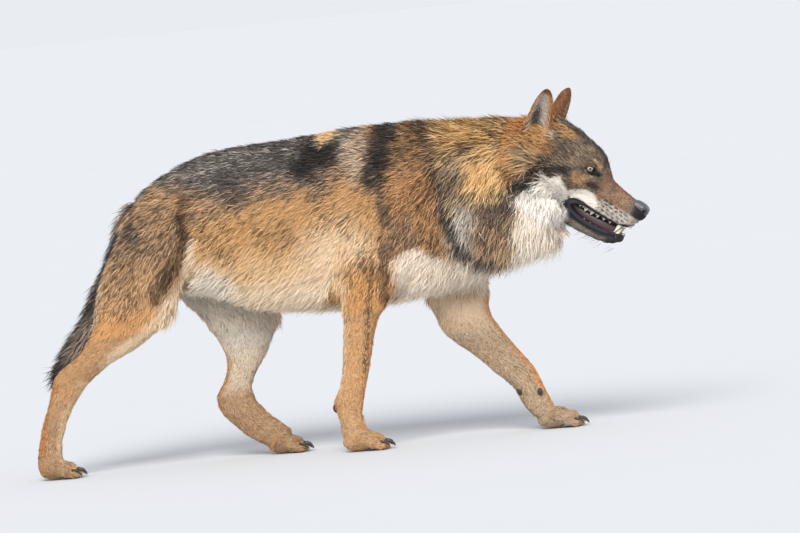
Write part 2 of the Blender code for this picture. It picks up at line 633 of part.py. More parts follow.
def main():
    for old in list(bpy.data.objects):
        bpy.data.objects.remove(old)

    head_frame = (Matrix.Translation(HEAD_AT) @ Matrix.Rotation(HEAD_YAW, 4, "Z")
                  @ Matrix.Rotation(HEAD_PITCH, 4, "Y"))
    neck_form = loft("neck_form", NECK)
    skull_form = loft("skull_form", across_head(SKULL), head_frame, square=2.1)

    # legs: name, side (-1 right), sections, paw (heel, y, length, width), and the cuts of
    # the lower leg and of the upper leg, which keeps this far from the body's middle
    reaching = swing(FORE_REACHING, FORE_REACH_PIVOT, FORE_REACH_SWING, FORE_REACH_SINK)
    legs = [
        ("foreleg_right", -1, FORE_STANDING, (0.030, -0.066, 0.112, 0.078),
         ELBOW_CUT, SHOULDER_STANDING, 0.042),
        ("foreleg_left", 1, reaching, (0.456, 0.064, 0.112, 0.078),
         ELBOW_CUT, SHOULDER_REACHING, 0.042),
        ("hindleg_right", -1, HIND_PUSHING, (-0.648, -0.066, 0.102, 0.072),
         KNEE_CUT_PUSHING, THIGH_PUSHING, 0.018),
        ("hindleg_left", 1, HIND_FORWARD, (-0.150, 0.065, 0.100, 0.070),
         KNEE_CUT_FORWARD, THIGH_FORWARD, 0.018),
    ]

    # one body of trunk, neck and legs
    forms = [loft("trunk_form", TRUNK), neck_form, skull_form]
    for name, side, sections, paw, *cuts in legs:
        forms.append(loft(name, on_side(sections, side)))
        forms += paw_forms(name, *paw)
    body = fuse("trunk", forms, BODY_VOXEL, BODY_TRIANGLES, 5)
    ground = prism("ground", [(-1, -1), (1, -1), (1, 0), (-1, 0)], (-1, 1))
    boolean(body, ground, "DIFFERENCE")

    # the tail, cut off where it meets the rump and the thighs
    tail = fuse("tail", [loft("tail_form", TAIL)], BODY_VOXEL, TAIL_TRIANGLES, 2)
    wide = grown(body, 1.5 * GAP)
    boolean(tail, wide, "DIFFERENCE")
    discard(wide)
    largest_body(tail)

    # the head, with its open mouth
    jaw_form = loft("jaw_form", across_head(JAW), head_frame, square=2.4)
    extras = []
    for side in (-1, 1):
        extras += [
            ball("brow", (0.132, side * 0.034, 0.028), (0.026, 0.016, 0.012), head_frame),
            ball("cheekbone", (0.104, side * 0.055, -0.014), (0.036, 0.018, 0.022), head_frame),
            ball("ear_root", (0.004, side * 0.048, 0.004), (0.030, 0.021, 0.030), head_frame),
            ball("ruff", (0.045, side * 0.073, -0.080), (0.046, 0.032, 0.044), head_frame),
            ball("upper_lip", (0.236, side * 0.020, -0.052), (0.048, 0.0160, 0.0160), head_frame),
        ]
    head = fuse("head", [skull_form, neck_form, jaw_form] + extras, HEAD_VOXEL, HEAD_TRIANGLES, 3)

    # the head ahead of and above the throat
    keep = prism("keep", HEAD_CUT, (-0.3, 0.3), 0.0, head_frame)
    boolean(head, keep, "INTERSECT")
    largest_body(head)
    remove = prism("remove", HEAD_CUT, (-0.3, 0.3), GAP, head_frame)
    boolean(body, remove, "DIFFERENCE")
    largest_body(body)
    discard(keep)
    discard(remove)

    # the legs, from the ground up, then the neck, which leave the trunk
    pieces = {"tail": tail}
    for name, side, sections, paw, lower_cut, upper_cut, inner in legs:
        sideways = (side * 0.4, 0.0)
        ankle = [(paw[0] + x, z) for x, z in ANKLE_CUT]
        discard(part_off(body, "coarse_paw", ankle, sideways))
        pieces[name + "_paw"] = fine_paw(name + "_paw", on_side(sections, side), paw, ankle,
                                         sideways, ground)
        pieces[name + "_lower"] = part_off(body, name + "_lower", lower_cut, sideways)
        pieces[name + "_upper"] = part_off(body, name + "_upper", upper_cut,
                                           (side * 0.4, side * inner))
    pieces["neck"] = part_off(body, "neck", NECK_CUT, (-0.4, 0.4))
    pieces["trunk"] = largest_body(body)

    # claws
    for name, side, sections, paw, *cuts in legs:
        wide = grown(pieces[name + "_paw"])
        for number, path in enumerate(claw_paths(*paw), start=1):
            claw = horn("%s_claw_%d" % (name, number), path, 0.0044, sides=6)
            boolean(claw, wide, "DIFFERENCE")
            pieces[claw.name] = largest_body(claw)
        discard(wide)

    # the head's own pieces
    for side, word in ((-1, "right"), (1, "left")):
        at = (EYE_AT[0], side * EYE_AT[1], EYE_AT[2])
        turn = eye_turn(side)
        eye = ball("eye_" + word, at, (EYE_RADIUS,) * 3, head_frame, turn, rings=8, segments=12)
        socket = ball("socket", at, (EYE_RADIUS + 4 * GAP,) * 3, head_frame, turn,
                      rings=9, segments=14)
        opening = Vector(at) + turn @ Vector((EYE_RADIUS + 0.004, 0, 0))
        slit = ball("slit", opening, (0.010, *EYE_OPENING), head_frame, turn, rings=6, segments=12)
        boolean(socket, slit, "UNION")
        boolean(head, socket, "DIFFERENCE")
        discard(socket)
        discard(slit)
        pieces[eye.name] = eye
    pieces["jaw"] = part_off(head, "jaw", JAW_CUT, (-0.1, 0.1), head_frame)
    pieces["nose"] = part_off(head, "nose", NOSE_CUT, (-0.1, 0.1), head_frame)
    for side, word in ((-1, "right"), (1, "left")):
        leaf = ear("ear_" + word, side, head_frame)
        wide = grown(head)
        boolean(leaf, wide, "DIFFERENCE")
        discard(wide)
        pieces[leaf.name] = largest_body(leaf)
    # teeth on both jaws, and the tongue between them
    add_teeth(head, upper_teeth(), head_frame)
    add_teeth(pieces["jaw"], lower_teeth(), head_frame)
    tongue = loft("tongue", across_head(TONGUE), head_frame, sides=10, parts=1)
    for piece in (pieces["jaw"], head):
        wide = grown(piece)
        boolean(tongue, wide, "DIFFERENCE")
        discard(wide)
    pieces["tongue"] = largest_body(tongue)
    pieces["head"] = head

    coats = {"trunk": "saddle", "neck": "saddle", "tail": "dark", "head": "cream", "jaw": "dark",
             "ear_left": "ochre", "ear_right": "ochre", "eye_left": "eye", "eye_right": "eye",
             "nose": "nose", "tongue": "tongue"}
    for form in list(bpy.data.objects):
        if form not in pieces.values():
            discard(form)
    for name, piece in pieces.items():
        piece.name = name
        finish_piece(piece, coats.get(name, "claw" if "claw" in name else "tan"))

    # stand the model on the bottom centre of its own box
    corners = [vert.co for piece in pieces.values() for vert in piece.data.vertices]
    low = [min(corner[axis] for corner in corners) for axis in range(3)]
    high = [max(corner[axis] for corner in corners) for axis in range(3)]
    shift = Matrix.Translation((-(low[0] + high[0]) / 2, -(low[1] + high[1]) / 2, -low[2]))
    for piece in pieces.values():
        piece.data.transform(shift)


main()
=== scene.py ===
"""The looks of the walking grey wolf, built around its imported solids.

One skin stands for the nodes of flesh and lies inside them by the depth of the coat. The
coat is made of mesh tufts that follow its lie, and skin and coat carry the same markings.
Lengths are in metres. The body's places are in its design frame, which is the row's frame
moved by ROW_SHIFT, and the head's are in its own: x to the nose, y to the left, z up.
"""

import math

import bmesh
import bpy
import numpy as np
from mathutils import Matrix, Vector, bvhtree


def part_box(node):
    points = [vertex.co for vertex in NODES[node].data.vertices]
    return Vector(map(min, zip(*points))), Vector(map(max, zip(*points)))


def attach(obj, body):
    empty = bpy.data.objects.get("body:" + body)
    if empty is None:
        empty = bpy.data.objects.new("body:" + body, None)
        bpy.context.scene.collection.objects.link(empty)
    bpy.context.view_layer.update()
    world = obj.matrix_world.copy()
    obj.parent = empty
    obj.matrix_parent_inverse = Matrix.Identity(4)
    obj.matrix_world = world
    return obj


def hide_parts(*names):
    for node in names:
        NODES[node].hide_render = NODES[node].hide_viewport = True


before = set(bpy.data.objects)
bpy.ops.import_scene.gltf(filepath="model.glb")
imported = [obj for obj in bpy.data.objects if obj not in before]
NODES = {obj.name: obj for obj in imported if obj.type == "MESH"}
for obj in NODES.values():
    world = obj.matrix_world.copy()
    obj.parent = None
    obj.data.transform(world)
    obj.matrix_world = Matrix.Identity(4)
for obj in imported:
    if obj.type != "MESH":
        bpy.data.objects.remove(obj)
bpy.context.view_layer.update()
RNG = np.random.default_rng(7)


# ------------------------------------------------------------------ places
HEAD_AT = Vector((0.530, 0.0, 0.655))
HEAD_TURN = Matrix.Rotation(math.radians(-12), 4, "Z") @ Matrix.Rotation(math.radians(38), 4, "Y")
EYE_RADIUS = 0.0118
EYE_AT = (0.1420, 0.0370, 0.0085)
EYE_OUTWARD = math.radians(52)
EYE_HALF_OPENING = (0.0135, 0.0060)      # along and across
LID_THICKNESS, LID_RADIUS = 0.0016, 0.0165
EYE_OPENING_AHEAD = 0.0015               # the opening's middle, towards the nose
IRIS_TURN = math.radians(13)             # the iris from the lids' middle, away from the nose

HEAD_IN_DESIGN = Matrix.Translation(HEAD_AT) @ HEAD_TURN
eye_low, eye_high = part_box("eye_right")
ROW_SHIFT = (eye_low + eye_high) / 2 - HEAD_IN_DESIGN @ Vector((EYE_AT[0], -EYE_AT[1], EYE_AT[2]))
HEAD = Matrix.Translation(ROW_SHIFT) @ HEAD_IN_DESIGN          # head frame to row frame
HEAD_ROTATION = np.array(HEAD.to_3x3())
HEAD_ORIGIN = np.array(HEAD.translation)
SHIFT = np.array(ROW_SHIFT)

JAW_LINE = -0.090                        # the throat's coat lies below this height of the head's frame
SIDES = {"right": -1, "left": 1}
# the limbs' centre lines, hip or shoulder to toe, as (x, z) in the design frame
LINES = {
    "foreleg_right": [(0.215, 0.625), (0.195, 0.525), (0.156, 0.430), (0.128, 0.360), (0.110, 0.300),
                      (0.095, 0.253), (0.084, 0.192), (0.074, 0.153), (0.060, 0.117), (0.062, 0.080),
                      (0.070, 0.048), (0.110, 0.030), (0.150, 0.012)],
    "foreleg_left": [(0.268, 0.605), (0.290, 0.485), (0.306, 0.383), (0.317, 0.295), (0.333, 0.240),
                     (0.387, 0.182), (0.423, 0.145), (0.452, 0.106), (0.467, 0.073), (0.487, 0.045),
                     (0.535, 0.025), (0.575, 0.010)],
    "hindleg_right": [(-0.300, 0.588), (-0.320, 0.536), (-0.348, 0.485), (-0.384, 0.389), (-0.421, 0.310),
                      (-0.465, 0.271), (-0.543, 0.221), (-0.564, 0.187), (-0.580, 0.158), (-0.597, 0.122),
                      (-0.610, 0.079), (-0.612, 0.045), (-0.580, 0.028), (-0.540, 0.012)],
    "hindleg_left": [(-0.268, 0.592), (-0.255, 0.518), (-0.225, 0.435), (-0.199, 0.367), (-0.178, 0.318),
                     (-0.170, 0.266), (-0.173, 0.219), (-0.190, 0.180), (-0.205, 0.146), (-0.198, 0.113),
                     (-0.172, 0.082), (-0.143, 0.057), (-0.105, 0.030), (-0.050, 0.012)],
    "tail": [(-0.350, 0.595), (-0.383, 0.541), (-0.405, 0.490), (-0.444, 0.415), (-0.492, 0.330),
             (-0.541, 0.263), (-0.577, 0.222), (-0.596, 0.200)],
}
LIMBS = [name for name in LINES if name != "tail"]
LIMB_MIDDLE = 0.068          # from the wolf's middle to a limb's
LIMB_TOP = 0.150             # below this height the limbs have a finer skin of their own
TRUNK_LINE = [(-0.42, 0.53), (-0.20, 0.53), (0.10, 0.52), (0.30, 0.53), (0.44, 0.55), (0.56, 0.56)]


# ------------------------------------------------------------------ colours, as seen on screen
DARK = (42, 35, 32)                      # a black hair


def linear(colour):
    """A screen colour, 0 to 255, as linear light."""
    c = np.asarray(colour, float) / 255
    return np.where(c <= 0.04045, c / 12.92, ((c + 0.055) / 1.055) ** 2.4)


# ------------------------------------------------------------------ fields
def ease(low, high, x):
    """0 below `low`, 1 above `high`, smooth between; `high` may be the lower one."""
    t = np.clip((x - low) / (high - low), 0, 1)
    return t * t * (3 - 2 * t)


def blob(u, v, at, size, turn=0.0, soft=0.45):
    """1 inside an ellipse of (u, v), fading to 0 across its rim."""
    c, s = math.cos(math.radians(turn)), math.sin(math.radians(turn))
    a, b = u - at[0], v - at[1]
    r = np.sqrt(((a * c + b * s) / size[0]) ** 2 + ((b * c - a * s) / size[1]) ** 2)
    return 1 - ease(1 - soft, 1 + soft, r)


def along(u, v, line):
    """The distance of (u, v) to a line of points, the share of its length there, and its direction."""
    points = np.array(line, float)
    best = np.full(len(u), 1e9)
    share = np.zeros(len(u))
    direction = np.zeros((len(u), 2))
    steps = np.linalg.norm(np.diff(points, axis=0), axis=1)
    total, before = steps.sum(), 0.0
    for (a, b), step in zip(zip(points, points[1:]), steps):
        ahead = (b - a) / step
        t = np.clip((u - a[0]) * ahead[0] + (v - a[1]) * ahead[1], 0, step)
        far = np.hypot(u - a[0] - ahead[0] * t, v - a[1] - ahead[1] * t)
        nearer = far < best
        best[nearer] = far[nearer]
        share[nearer] = (before + t[nearer]) / total
        direction[nearer] = ahead
        before += step
    return best, share, direction


def stripe(u, v, line, half_width, soft=0.6):
    """1 near a line of points, fading to 0 about its half width away."""
    far = along(u, v, line)[0]
    return 1 - ease(half_width * (1 - soft), half_width * (1 + soft), far)


def lattice(cells, seed):
    """A random number from 0 to 1 for each whole-number cell."""
    c = cells.astype(np.int64)
    h = c[..., 0] * 374761393 + c[..., 1] * 668265263 + c[..., 2] * 2147483629 + seed * 1274126177
    h = h & 0xFFFFFFFF
    h = ((h ^ (h >> 13)) * 1274126177) & 0xFFFFFFFF
    h = ((h ^ (h >> 16)) * 2246822519) & 0xFFFFFFFF
    return ((h ^ (h >> 15)) & 0xFFFFFF) / 0xFFFFFF


def cloud(points, size, seed):
    """Smooth noise from 0 to 1 whose features are about `size` across."""
    q = points / size
    base = np.floor(q)
    f = q - base
    f = f * f * (3 - 2 * f)
    total = np.zeros(len(q))
    for dx in (0, 1):
        for dy in (0, 1):
            for dz in (0, 1):
                weight = (np.where(dx, f[:, 0], 1 - f[:, 0]) * np.where(dy, f[:, 1], 1 - f[:, 1])
                          * np.where(dz, f[:, 2], 1 - f[:, 2]))
                total += weight * lattice(base + (dx, dy, dz), seed)
    return total


def unit(vectors):
    """Vectors of length 1."""
    return vectors / np.maximum(np.linalg.norm(vectors, axis=-1, keepdims=True), 1e-9)


def to_head(points):
    """Row points in the head's frame."""
    return (points - HEAD_ORIGIN) @ HEAD_ROTATION


def from_head(points):
    """Points of the head's frame in the row's."""
    return points @ HEAD_ROTATION.T + HEAD_ORIGIN


# ------------------------------------------------------------------ meshes
def add_object(name, data):
    """A new object in the scene."""
    piece = bpy.data.objects.new(name, data)
    bpy.context.scene.collection.objects.link(piece)
    return piece


def mesh_of(name, points, faces):
    """A smooth-shaded mesh of points and an array (or list) of faces."""
    mesh = bpy.data.meshes.new(name)
    if isinstance(faces, np.ndarray):
        corners = faces.shape[1]
        mesh.vertices.add(len(points))
        mesh.vertices.foreach_set("co", np.asarray(points, np.float32).ravel())
        mesh.loops.add(faces.size)
        mesh.loops.foreach_set("vertex_index", faces.astype(np.int32).ravel())
        mesh.polygons.add(len(faces))
        mesh.polygons.foreach_set("loop_start", np.arange(0, faces.size, corners, dtype=np.int32))
        mesh.update(calc_edges=True)
    else:
        mesh.from_pydata([tuple(p) for p in points], [], [tuple(f) for f in faces])
    mesh.polygons.foreach_set("use_smooth", np.full(len(mesh.polygons), True))
    mesh.update()
    return mesh


def numbers_of(items, key, kind, wide):
    """A property of many mesh items, as rows of `wide` numbers."""
    out = np.zeros(len(items) * wide, kind)
    items.foreach_get(key, out)
    return out.reshape(-1, wide)


def points_of(mesh):
    """A mesh's points."""
    return numbers_of(mesh.vertices, "co", np.float32, 3).astype(float)


def normals_of(mesh):
    """The smooth normals at a mesh's points."""
    return numbers_of(mesh.vertex_normals, "vector", np.float32, 3).astype(float)


def triangles_of(mesh):
    """A mesh's triangles, as rows of point numbers."""
    mesh.calc_loop_triangles()
    return numbers_of(mesh.loop_triangles, "vertices", np.int32, 3)


def edges_of(mesh):
    """A mesh's edges, as rows of point numbers."""
    return numbers_of(mesh.edges, "vertices", np.int32, 2)


def move_points(mesh, points):
    """Give a mesh's points new places."""
    mesh.vertices.foreach_set("co", points.astype(np.float32).ravel())
    mesh.update()


def paint(mesh, colours):
    """Store linear colours, one for each point."""
    attribute = mesh.color_attributes.new("coat", "FLOAT_COLOR", "POINT")
    full = np.ones((len(colours), 4), np.float32)
    full[:, :3] = colours
    attribute.data.foreach_set("color", full.ravel())


def written(bm, name):
    """The mesh of a bmesh that isn't needed any more, shaded smooth."""
    mesh = bpy.data.meshes.new(name)
    bm.to_mesh(mesh)
    bm.free()
    mesh.polygons.foreach_set("use_smooth", np.full(len(mesh.polygons), True))
    return mesh


def joined(name, meshes, place=Matrix.Identity(4)):
    """One mesh of several, moved by `place`."""
    bm = bmesh.new()
    for mesh in meshes:
        bm.from_mesh(mesh)
    bm.transform(place)
    return written(bm, name)


def fused(name, meshes, voxel, rounds):
    """One closed mesh of several overlapping ones, smoothed."""
    piece = add_object(name, joined(name, meshes))
    remesh = piece.modifiers.new("fuse", "REMESH")
    remesh.mode = "VOXEL"
    remesh.voxel_size = voxel
    relax = piece.modifiers.new("relax", "SMOOTH")
    relax.factor = 0.5
    relax.iterations = rounds
    graph = bpy.context.evaluated_depsgraph_get()
    mesh = bpy.data.meshes.new_from_object(piece.evaluated_get(graph), depsgraph=graph)
    bpy.data.objects.remove(piece)
    return mesh


def smooth_row(rows, parts):
    """Rows of numbers with Catmull-Rom rows between each two, `parts` to a span."""
    out = []
    for i in range(len(rows) - 1):
        before, here = rows[max(i - 1, 0)], rows[i]
        there, after = rows[i + 1], rows[min(i + 2, len(rows) - 1)]
        for k in range(parts):
            t = k / parts
            out.append([0.5 * (2 * b + (c - a) * t + (2 * a - 5 * b + 4 * c - d) * t * t
                               + (3 * b - a - 3 * c + d) * t ** 3)
                        for a, b, c, d in zip(before, here, there, after)])
    out.append(list(rows[-1]))
    return out


def loft(rows, sides=48, parts=6, square=2.1):
    """A closed tube in the head's frame through rows (x, top, bottom, half width, low)."""
    rings = smooth_row(rows, parts)
    first, last = rings[0], rings[-1]

    def cap(row, way):
        out = []
        for a in (25, 50, 70, 84):
            c, s = math.cos(math.radians(a)), math.sin(math.radians(a))
            middle, arm = (row[1] + row[2]) / 2, (row[1] - row[2]) / 2
            x = row[0] + way * min(arm, row[3]) * 0.6 * s
            out.append([x, middle + arm * c, middle - arm * c, row[3] * c, row[4]])
        return out

    rings = cap(first, -1)[::-1] + rings + cap(last, 1)
    points = []
    for x, top, bottom, half, low in rings:
        angle = 2 * math.pi * np.arange(sides) / sides
        c, s = np.cos(angle), np.sin(angle)
        stretch = (np.abs(c) ** square + np.abs(s) ** square) ** (-1 / square)
        y = half * s * stretch * (1 - low * c)
        z = (top + bottom) / 2 + (top - bottom) / 2 * c * stretch
        points.append(np.stack([np.full(sides, x), y, z], 1))
    points = np.concatenate(points)
    faces = []
    for r in range(len(rings) - 1):
        for k in range(sides):
            n = (k + 1) % sides
            faces.append((r * sides + k, r * sides + n, (r + 1) * sides + n, (r + 1) * sides + k))
    faces.append(tuple(range(sides))[::-1])
    faces.append(tuple((len(rings) - 1) * sides + k for k in range(sides)))
    return closed(mesh_of("loft", points, faces))


def closed(mesh):
    """The mesh with its faces turned out."""
    bm = bmesh.new()
    bm.from_mesh(mesh)
    bmesh.ops.recalc_face_normals(bm, faces=bm.faces)
    bm.to_mesh(mesh)
    bm.free()
    return mesh


def ball(centre, radii, segments=24, rings=16):
    """An ellipsoid."""
    bm = bmesh.new()
    place = Matrix.Translation(centre) @ Matrix.Diagonal((*radii, 1))
    bmesh.ops.create_uvsphere(bm, u_segments=segments, v_segments=rings, radius=1, matrix=place)
    return written(bm, "ball")


def strand(path, radii, sides=8, flat=1.0):
    """A tube along a path whose radius is given at each point; a radius of 0 closes to a tip."""
    points = [Vector(p) for p in path]
    bm = bmesh.new()
    side = (points[1] - points[0]).orthogonal()
    loops = []
    for i, point in enumerate(points):
        ahead = points[min(i + 1, len(points) - 1)] - points[max(i - 1, 0)]
        ahead.normalize()
        side = (side - ahead * side.dot(ahead)).normalized()
        up = ahead.cross(side)
        size = max(radii[i], 1e-5)
        loops.append([bm.verts.new(point + size * (side * math.cos(a) + up * math.sin(a) * flat))
                      for a in (2 * math.pi * k / sides for k in range(sides))])
    for a, b in zip(loops, loops[1:]):
        for k in range(sides):
            bm.faces.new((a[k], a[(k + 1) % sides], b[(k + 1) % sides], b[k]))
    bm.faces.new(loops[0])
    bm.faces.new(loops[-1])
    bmesh.ops.recalc_face_normals(bm, faces=bm.faces)
    return written(bm, "strand")


def diffused(values, edges, rounds):
    """Values of mesh points, averaged with their neighbours."""
    a, b = edges[:, 0], edges[:, 1]
    count = np.bincount(a, minlength=len(values)) + np.bincount(b, minlength=len(values))
    count = np.maximum(count, 1)
    flat = values.reshape(len(values), -1).copy()
    for _ in range(rounds):
        for column in range(flat.shape[1]):
            v = flat[:, column]
            total = (np.bincount(a, weights=v[b], minlength=len(v))
                     + np.bincount(b, weights=v[a], minlength=len(v)))
            flat[:, column] = 0.4 * v + 0.6 * total / count
    return flat.reshape(values.shape)


# ------------------------------------------------------------------ coat of each part
# part: depth of the coat, tuft length, tuft width, rise at the root and at the tip (degrees), cover
COATS = {
    "trunk": (0.0115, 0.0270, 0.00180, 31, 10, 9.0),
    "neck": (0.0200, 0.0390, 0.00205, 40, 17, 9.5),
    "tail": (0.0170, 0.0400, 0.00200, 34, 13, 10.0),
    "fore_upper": (0.0090, 0.0220, 0.00175, 30, 10, 8.5),
    "hind_upper": (0.0095, 0.0240, 0.00180, 30, 10, 8.5),
    "lower": (0.0038, 0.0110, 0.00125, 22, 6, 7.5),
    "paw": (0.0026, 0.0075, 0.00110, 20, 6, 7.0),
    "head": (0.0150, 0.0280, 0.00180, 38, 13, 8.5),
}
PART_OF_NODE = {"trunk": "trunk", "neck": "neck", "tail": "tail", "head": "head"}
for limb in LIMBS:
    PART_OF_NODE[limb + "_upper"] = limb[:4] + "_upper"
    PART_OF_NODE[limb + "_lower"] = "lower"
    PART_OF_NODE[limb + "_paw"] = "paw"


def nearest_node(points, names):
    """The index in `names` of the node nearest to each point."""
    corners, faces, owner = [], [], []
    for index, name in enumerate(names):
        mesh = NODES[name].data
        start = sum(len(c) for c in corners)
        corners.append(points_of(mesh))
        faces.append(triangles_of(mesh) + start)
        owner += [index] * len(faces[-1])
    tree = bvhtree.BVHTree.FromPolygons(np.concatenate(corners).tolist(), np.concatenate(faces).tolist())
    return np.array([owner[tree.find_nearest(p)[2]] for p in points.tolist()])


def fields_at(points, edges, names):
    """The coat's sizes and lie at the points of a skin."""
    owner = nearest_node(points, names)
    part = np.array([PART_OF_NODE[name] for name in names])[owner]
    table = np.array([COATS[p] for p in part])
    table = diffused(table, edges, 14)
    limb = np.array(names)[owner]
    lie = lie_of(points - SHIFT, limb)
    lie = unit(diffused(lie, edges, 14))
    keys = ("depth", "length", "width", "rise", "droop", "cover")
    fields = {key: table[:, k] for k, key in enumerate(keys)}
    fields["lie"] = lie
    return fields, owner


def lie_of(p, node):
    """The way the coat lies at design points p on the named nodes."""
    lie = np.zeros_like(p)
    side = np.sign(p[:, 1])
    high = ease(0.60, 0.70, p[:, 2])
    fall = (1 - high) * ease(0.72, 0.42, p[:, 2])
    lie[:, 0] = -1
    lie[:, 2] = -0.12 - 0.75 * fall
    neck = ease(0.20, 0.36, p[:, 0])
    lie[:, 2] -= 0.75 * neck * (1 - high)
    lie[:, 0] += 0.30 * neck * (1 - high)
    throat = ease(0.40, 0.46, p[:, 0]) * ease(0.56, 0.46, p[:, 2])
    lie[:, 2] -= 0.9 * throat
    for name, line in LINES.items():
        mine = np.char.startswith(node, name)
        direction = along(p[mine, 0], p[mine, 2], line)[2]
        lie[mine, 0] = direction[:, 0]
        lie[mine, 1] = 0
        lie[mine, 2] = direction[:, 1]
        if name != "tail":
            back = ease(0.30, 0.60, p[mine, 2])
            lie[mine, 0] -= 0.55 * back
    rear = (node == "trunk") & (p[:, 0] < -0.30)
    lie[rear, 2] -= 0.8 * ease(-0.30, -0.42, p[rear, 0])
    lie[:, 1] += 0.10 * side * high * (node != "tail")
    return unit(lie)


# ------------------------------------------------------------------ markings
class Marks:
    """The ground colour and the share of black-tipped hairs, laid down mark by mark."""

    def __init__(self, count, ground, dark):
        self.ground = np.tile(linear(ground), (count, 1))
        self.dark = np.full(count, float(dark))

    def lay(self, share, ground=None, dark=None):
        """Mix in a ground colour, a dark share or both, as far as `share` says at each point."""
        if ground is not None:
            self.ground += (linear(ground) - self.ground) * share[:, None]
        if dark is not None:
            self.dark += (dark - self.dark) * share


class BodySpots:
    """Where points lie on the body: in the design frame, with rough edges, by side and by part."""

    def __init__(self, points, normals, part):
        self.p = points - SHIFT
        self.x, self.y, self.z = self.p.T
        self.rough = cloud(self.p, 0.045, 3) - 0.5
        self.fine = cloud(self.p, 0.016, 5) - 0.5
        self.xr = self.x + 0.016 * self.rough
        self.zr = self.z + 0.020 * self.rough
        self.normals, self.part = normals, part
        self.right, self.left = self.y < 0, self.y > 0
        self.inner = ease(-0.1, 0.55, -normals[:, 1] * np.sign(self.y))
        self.fore = (self.x > -0.03) * 1.0
        self.hind = (part == "hind_upper") * 1.0
        self.upper_fore = (part == "fore_upper") * 1.0
        self.low = ((part == "lower") | (part == "paw")) * 1.0
        self.places = self.x, self.z, self.xr, self.zr


def mark_belly(m, s):
    """Flank, belly and the pale fold before the thigh."""
    x, z, xr, zr = s.places
    m.lay(ease(0.60, 0.52, z + 0.03 * s.rough), (208, 164, 112), 0.16)
    m.lay(ease(0.49, 0.40, z + 0.03 * s.rough), (236, 202, 156), 0.03)
    m.lay(ease(0.420, 0.355, zr) * ease(-0.36, -0.30, x), (252, 232, 204), 0.02)
    m.lay(0.85 * blob(xr, zr, (0.060, 0.440), (0.070, 0.062), 25, 0.8), (246, 222, 190), 0.02)
    m.lay(blob(xr, zr, (-0.235, 0.375), (0.062, 0.055)), (240, 230, 214), 0.03)


def mark_saddle(m, s):
    """The dark saddle with its black and tan spots."""
    x, z, xr, zr = s.places
    line = np.interp(x, (-0.42, -0.344, -0.277, -0.202, -0.122, -0.032, 0.036, 0.093, 0.14),
                     (0.545, 0.578, 0.575, 0.552, 0.560, 0.570, 0.580, 0.600, 0.590))
    saddle = ease(-0.034, 0.030, z - line + 0.050 * s.rough + 0.02 * s.fine) * ease(0.16, 0.10, x)
    m.lay(saddle, (176, 150, 126), 0.66)
    m.lay(saddle * ease(0.030, 0.075, z - line + 0.03 * s.rough), (178, 168, 158), 0.82)
    m.lay(blob(xr, zr, (-0.150, 0.640), (0.045, 0.022), 10), None, 0.95)
    m.lay(blob(xr, zr, (0.036, 0.650), (0.052, 0.038), 30), (70, 65, 61), 0.99)
    m.lay(blob(x, zr, (0.066, 0.700), (0.030, 0.016), 15), (226, 190, 144), 0.03)
    m.lay(blob(xr, zr, (0.126, 0.650), (0.030, 0.064), -8), (200, 174, 148), 0.32)


def mark_shoulder(m, s):
    """The shoulder and the dark band behind it."""
    x, z, xr, zr = s.places
    shoulder = ease(0.165, 0.20, xr) * ease(0.325, 0.300, x) * ease(0.36, 0.42, z)
    m.lay(shoulder, (196, 148, 102), 0.34)
    m.lay(shoulder * ease(0.56, 0.66, z), (182, 142, 102), 0.48)
    m.lay(stripe(xr, z, [(0.196, 0.715), (0.190, 0.688), (0.176, 0.650), (0.162, 0.600)], 0.026),
          (90, 80, 72), 0.96)
    m.lay(0.7 * stripe(xr, z, [(0.162, 0.600), (0.176, 0.555), (0.182, 0.505)], 0.012), (136, 116, 98), 0.78)
    m.lay(0.7 * blob(xr, zr, (0.215, 0.450), (0.040, 0.060)), (178, 146, 116), 0.45)


def mark_ruff(m, s):
    """The ruff's tan, orange, grey and dark patches."""
    x, z, xr, zr = s.places
    ruff = ease(0.290, 0.312, x)
    m.lay(ruff, (204, 176, 138), 0.24)
    m.lay(ruff * ease(0.59, 0.65, z), (216, 174, 118), 0.34)
    m.lay(blob(xr, zr, (0.365, 0.632), (0.026, 0.014), 10), None, 0.85)
    m.lay(blob(xr, zr, (0.450, 0.668), (0.030, 0.018)), None, 0.72)
    m.lay(blob(xr, zr, (0.341, 0.560), (0.042, 0.045)), (172, 148, 120), 0.40)
    m.lay(blob(xr, zr, (0.412, 0.575), (0.056, 0.044), 15), (234, 194, 136), 0.06)
    m.lay(blob(xr, zr, (0.486, 0.630), (0.026, 0.050), 8), (196, 118, 60), 0.08)
    m.lay(blob(xr, zr, (0.344, 0.454), (0.030, 0.058), -12), (208, 198, 184), 0.22)
    m.lay(blob(xr, zr, (0.405, 0.435), (0.046, 0.042)), (186, 152, 120), 0.42)
    m.lay(blob(xr, zr, (0.420, 0.496), (0.048, 0.026), 10), (146, 124, 106), 0.62)
    m.lay(blob(xr, zr, (0.470, 0.548), (0.013, 0.034), -15), (150, 134, 116), 0.55)


def chest_share(s):
    """1 on the cream chest between the forelegs and the ruff."""
    x, _, xr, zr = s.places
    top = np.interp(x, (0.19, 0.22, 0.25, 0.285, 0.324, 0.363, 0.397),
                    (0.420, 0.430, 0.436, 0.412, 0.392, 0.375, 0.374))
    outer_left = s.left * ease(0.0, 0.5, s.normals[:, 1]) * np.isin(s.part, ("fore_upper", "lower"))
    return ease(0.010, -0.010, zr - top) * ease(0.175, 0.205, xr) * ease(0.47, 0.42, x) * (1 - outer_left)


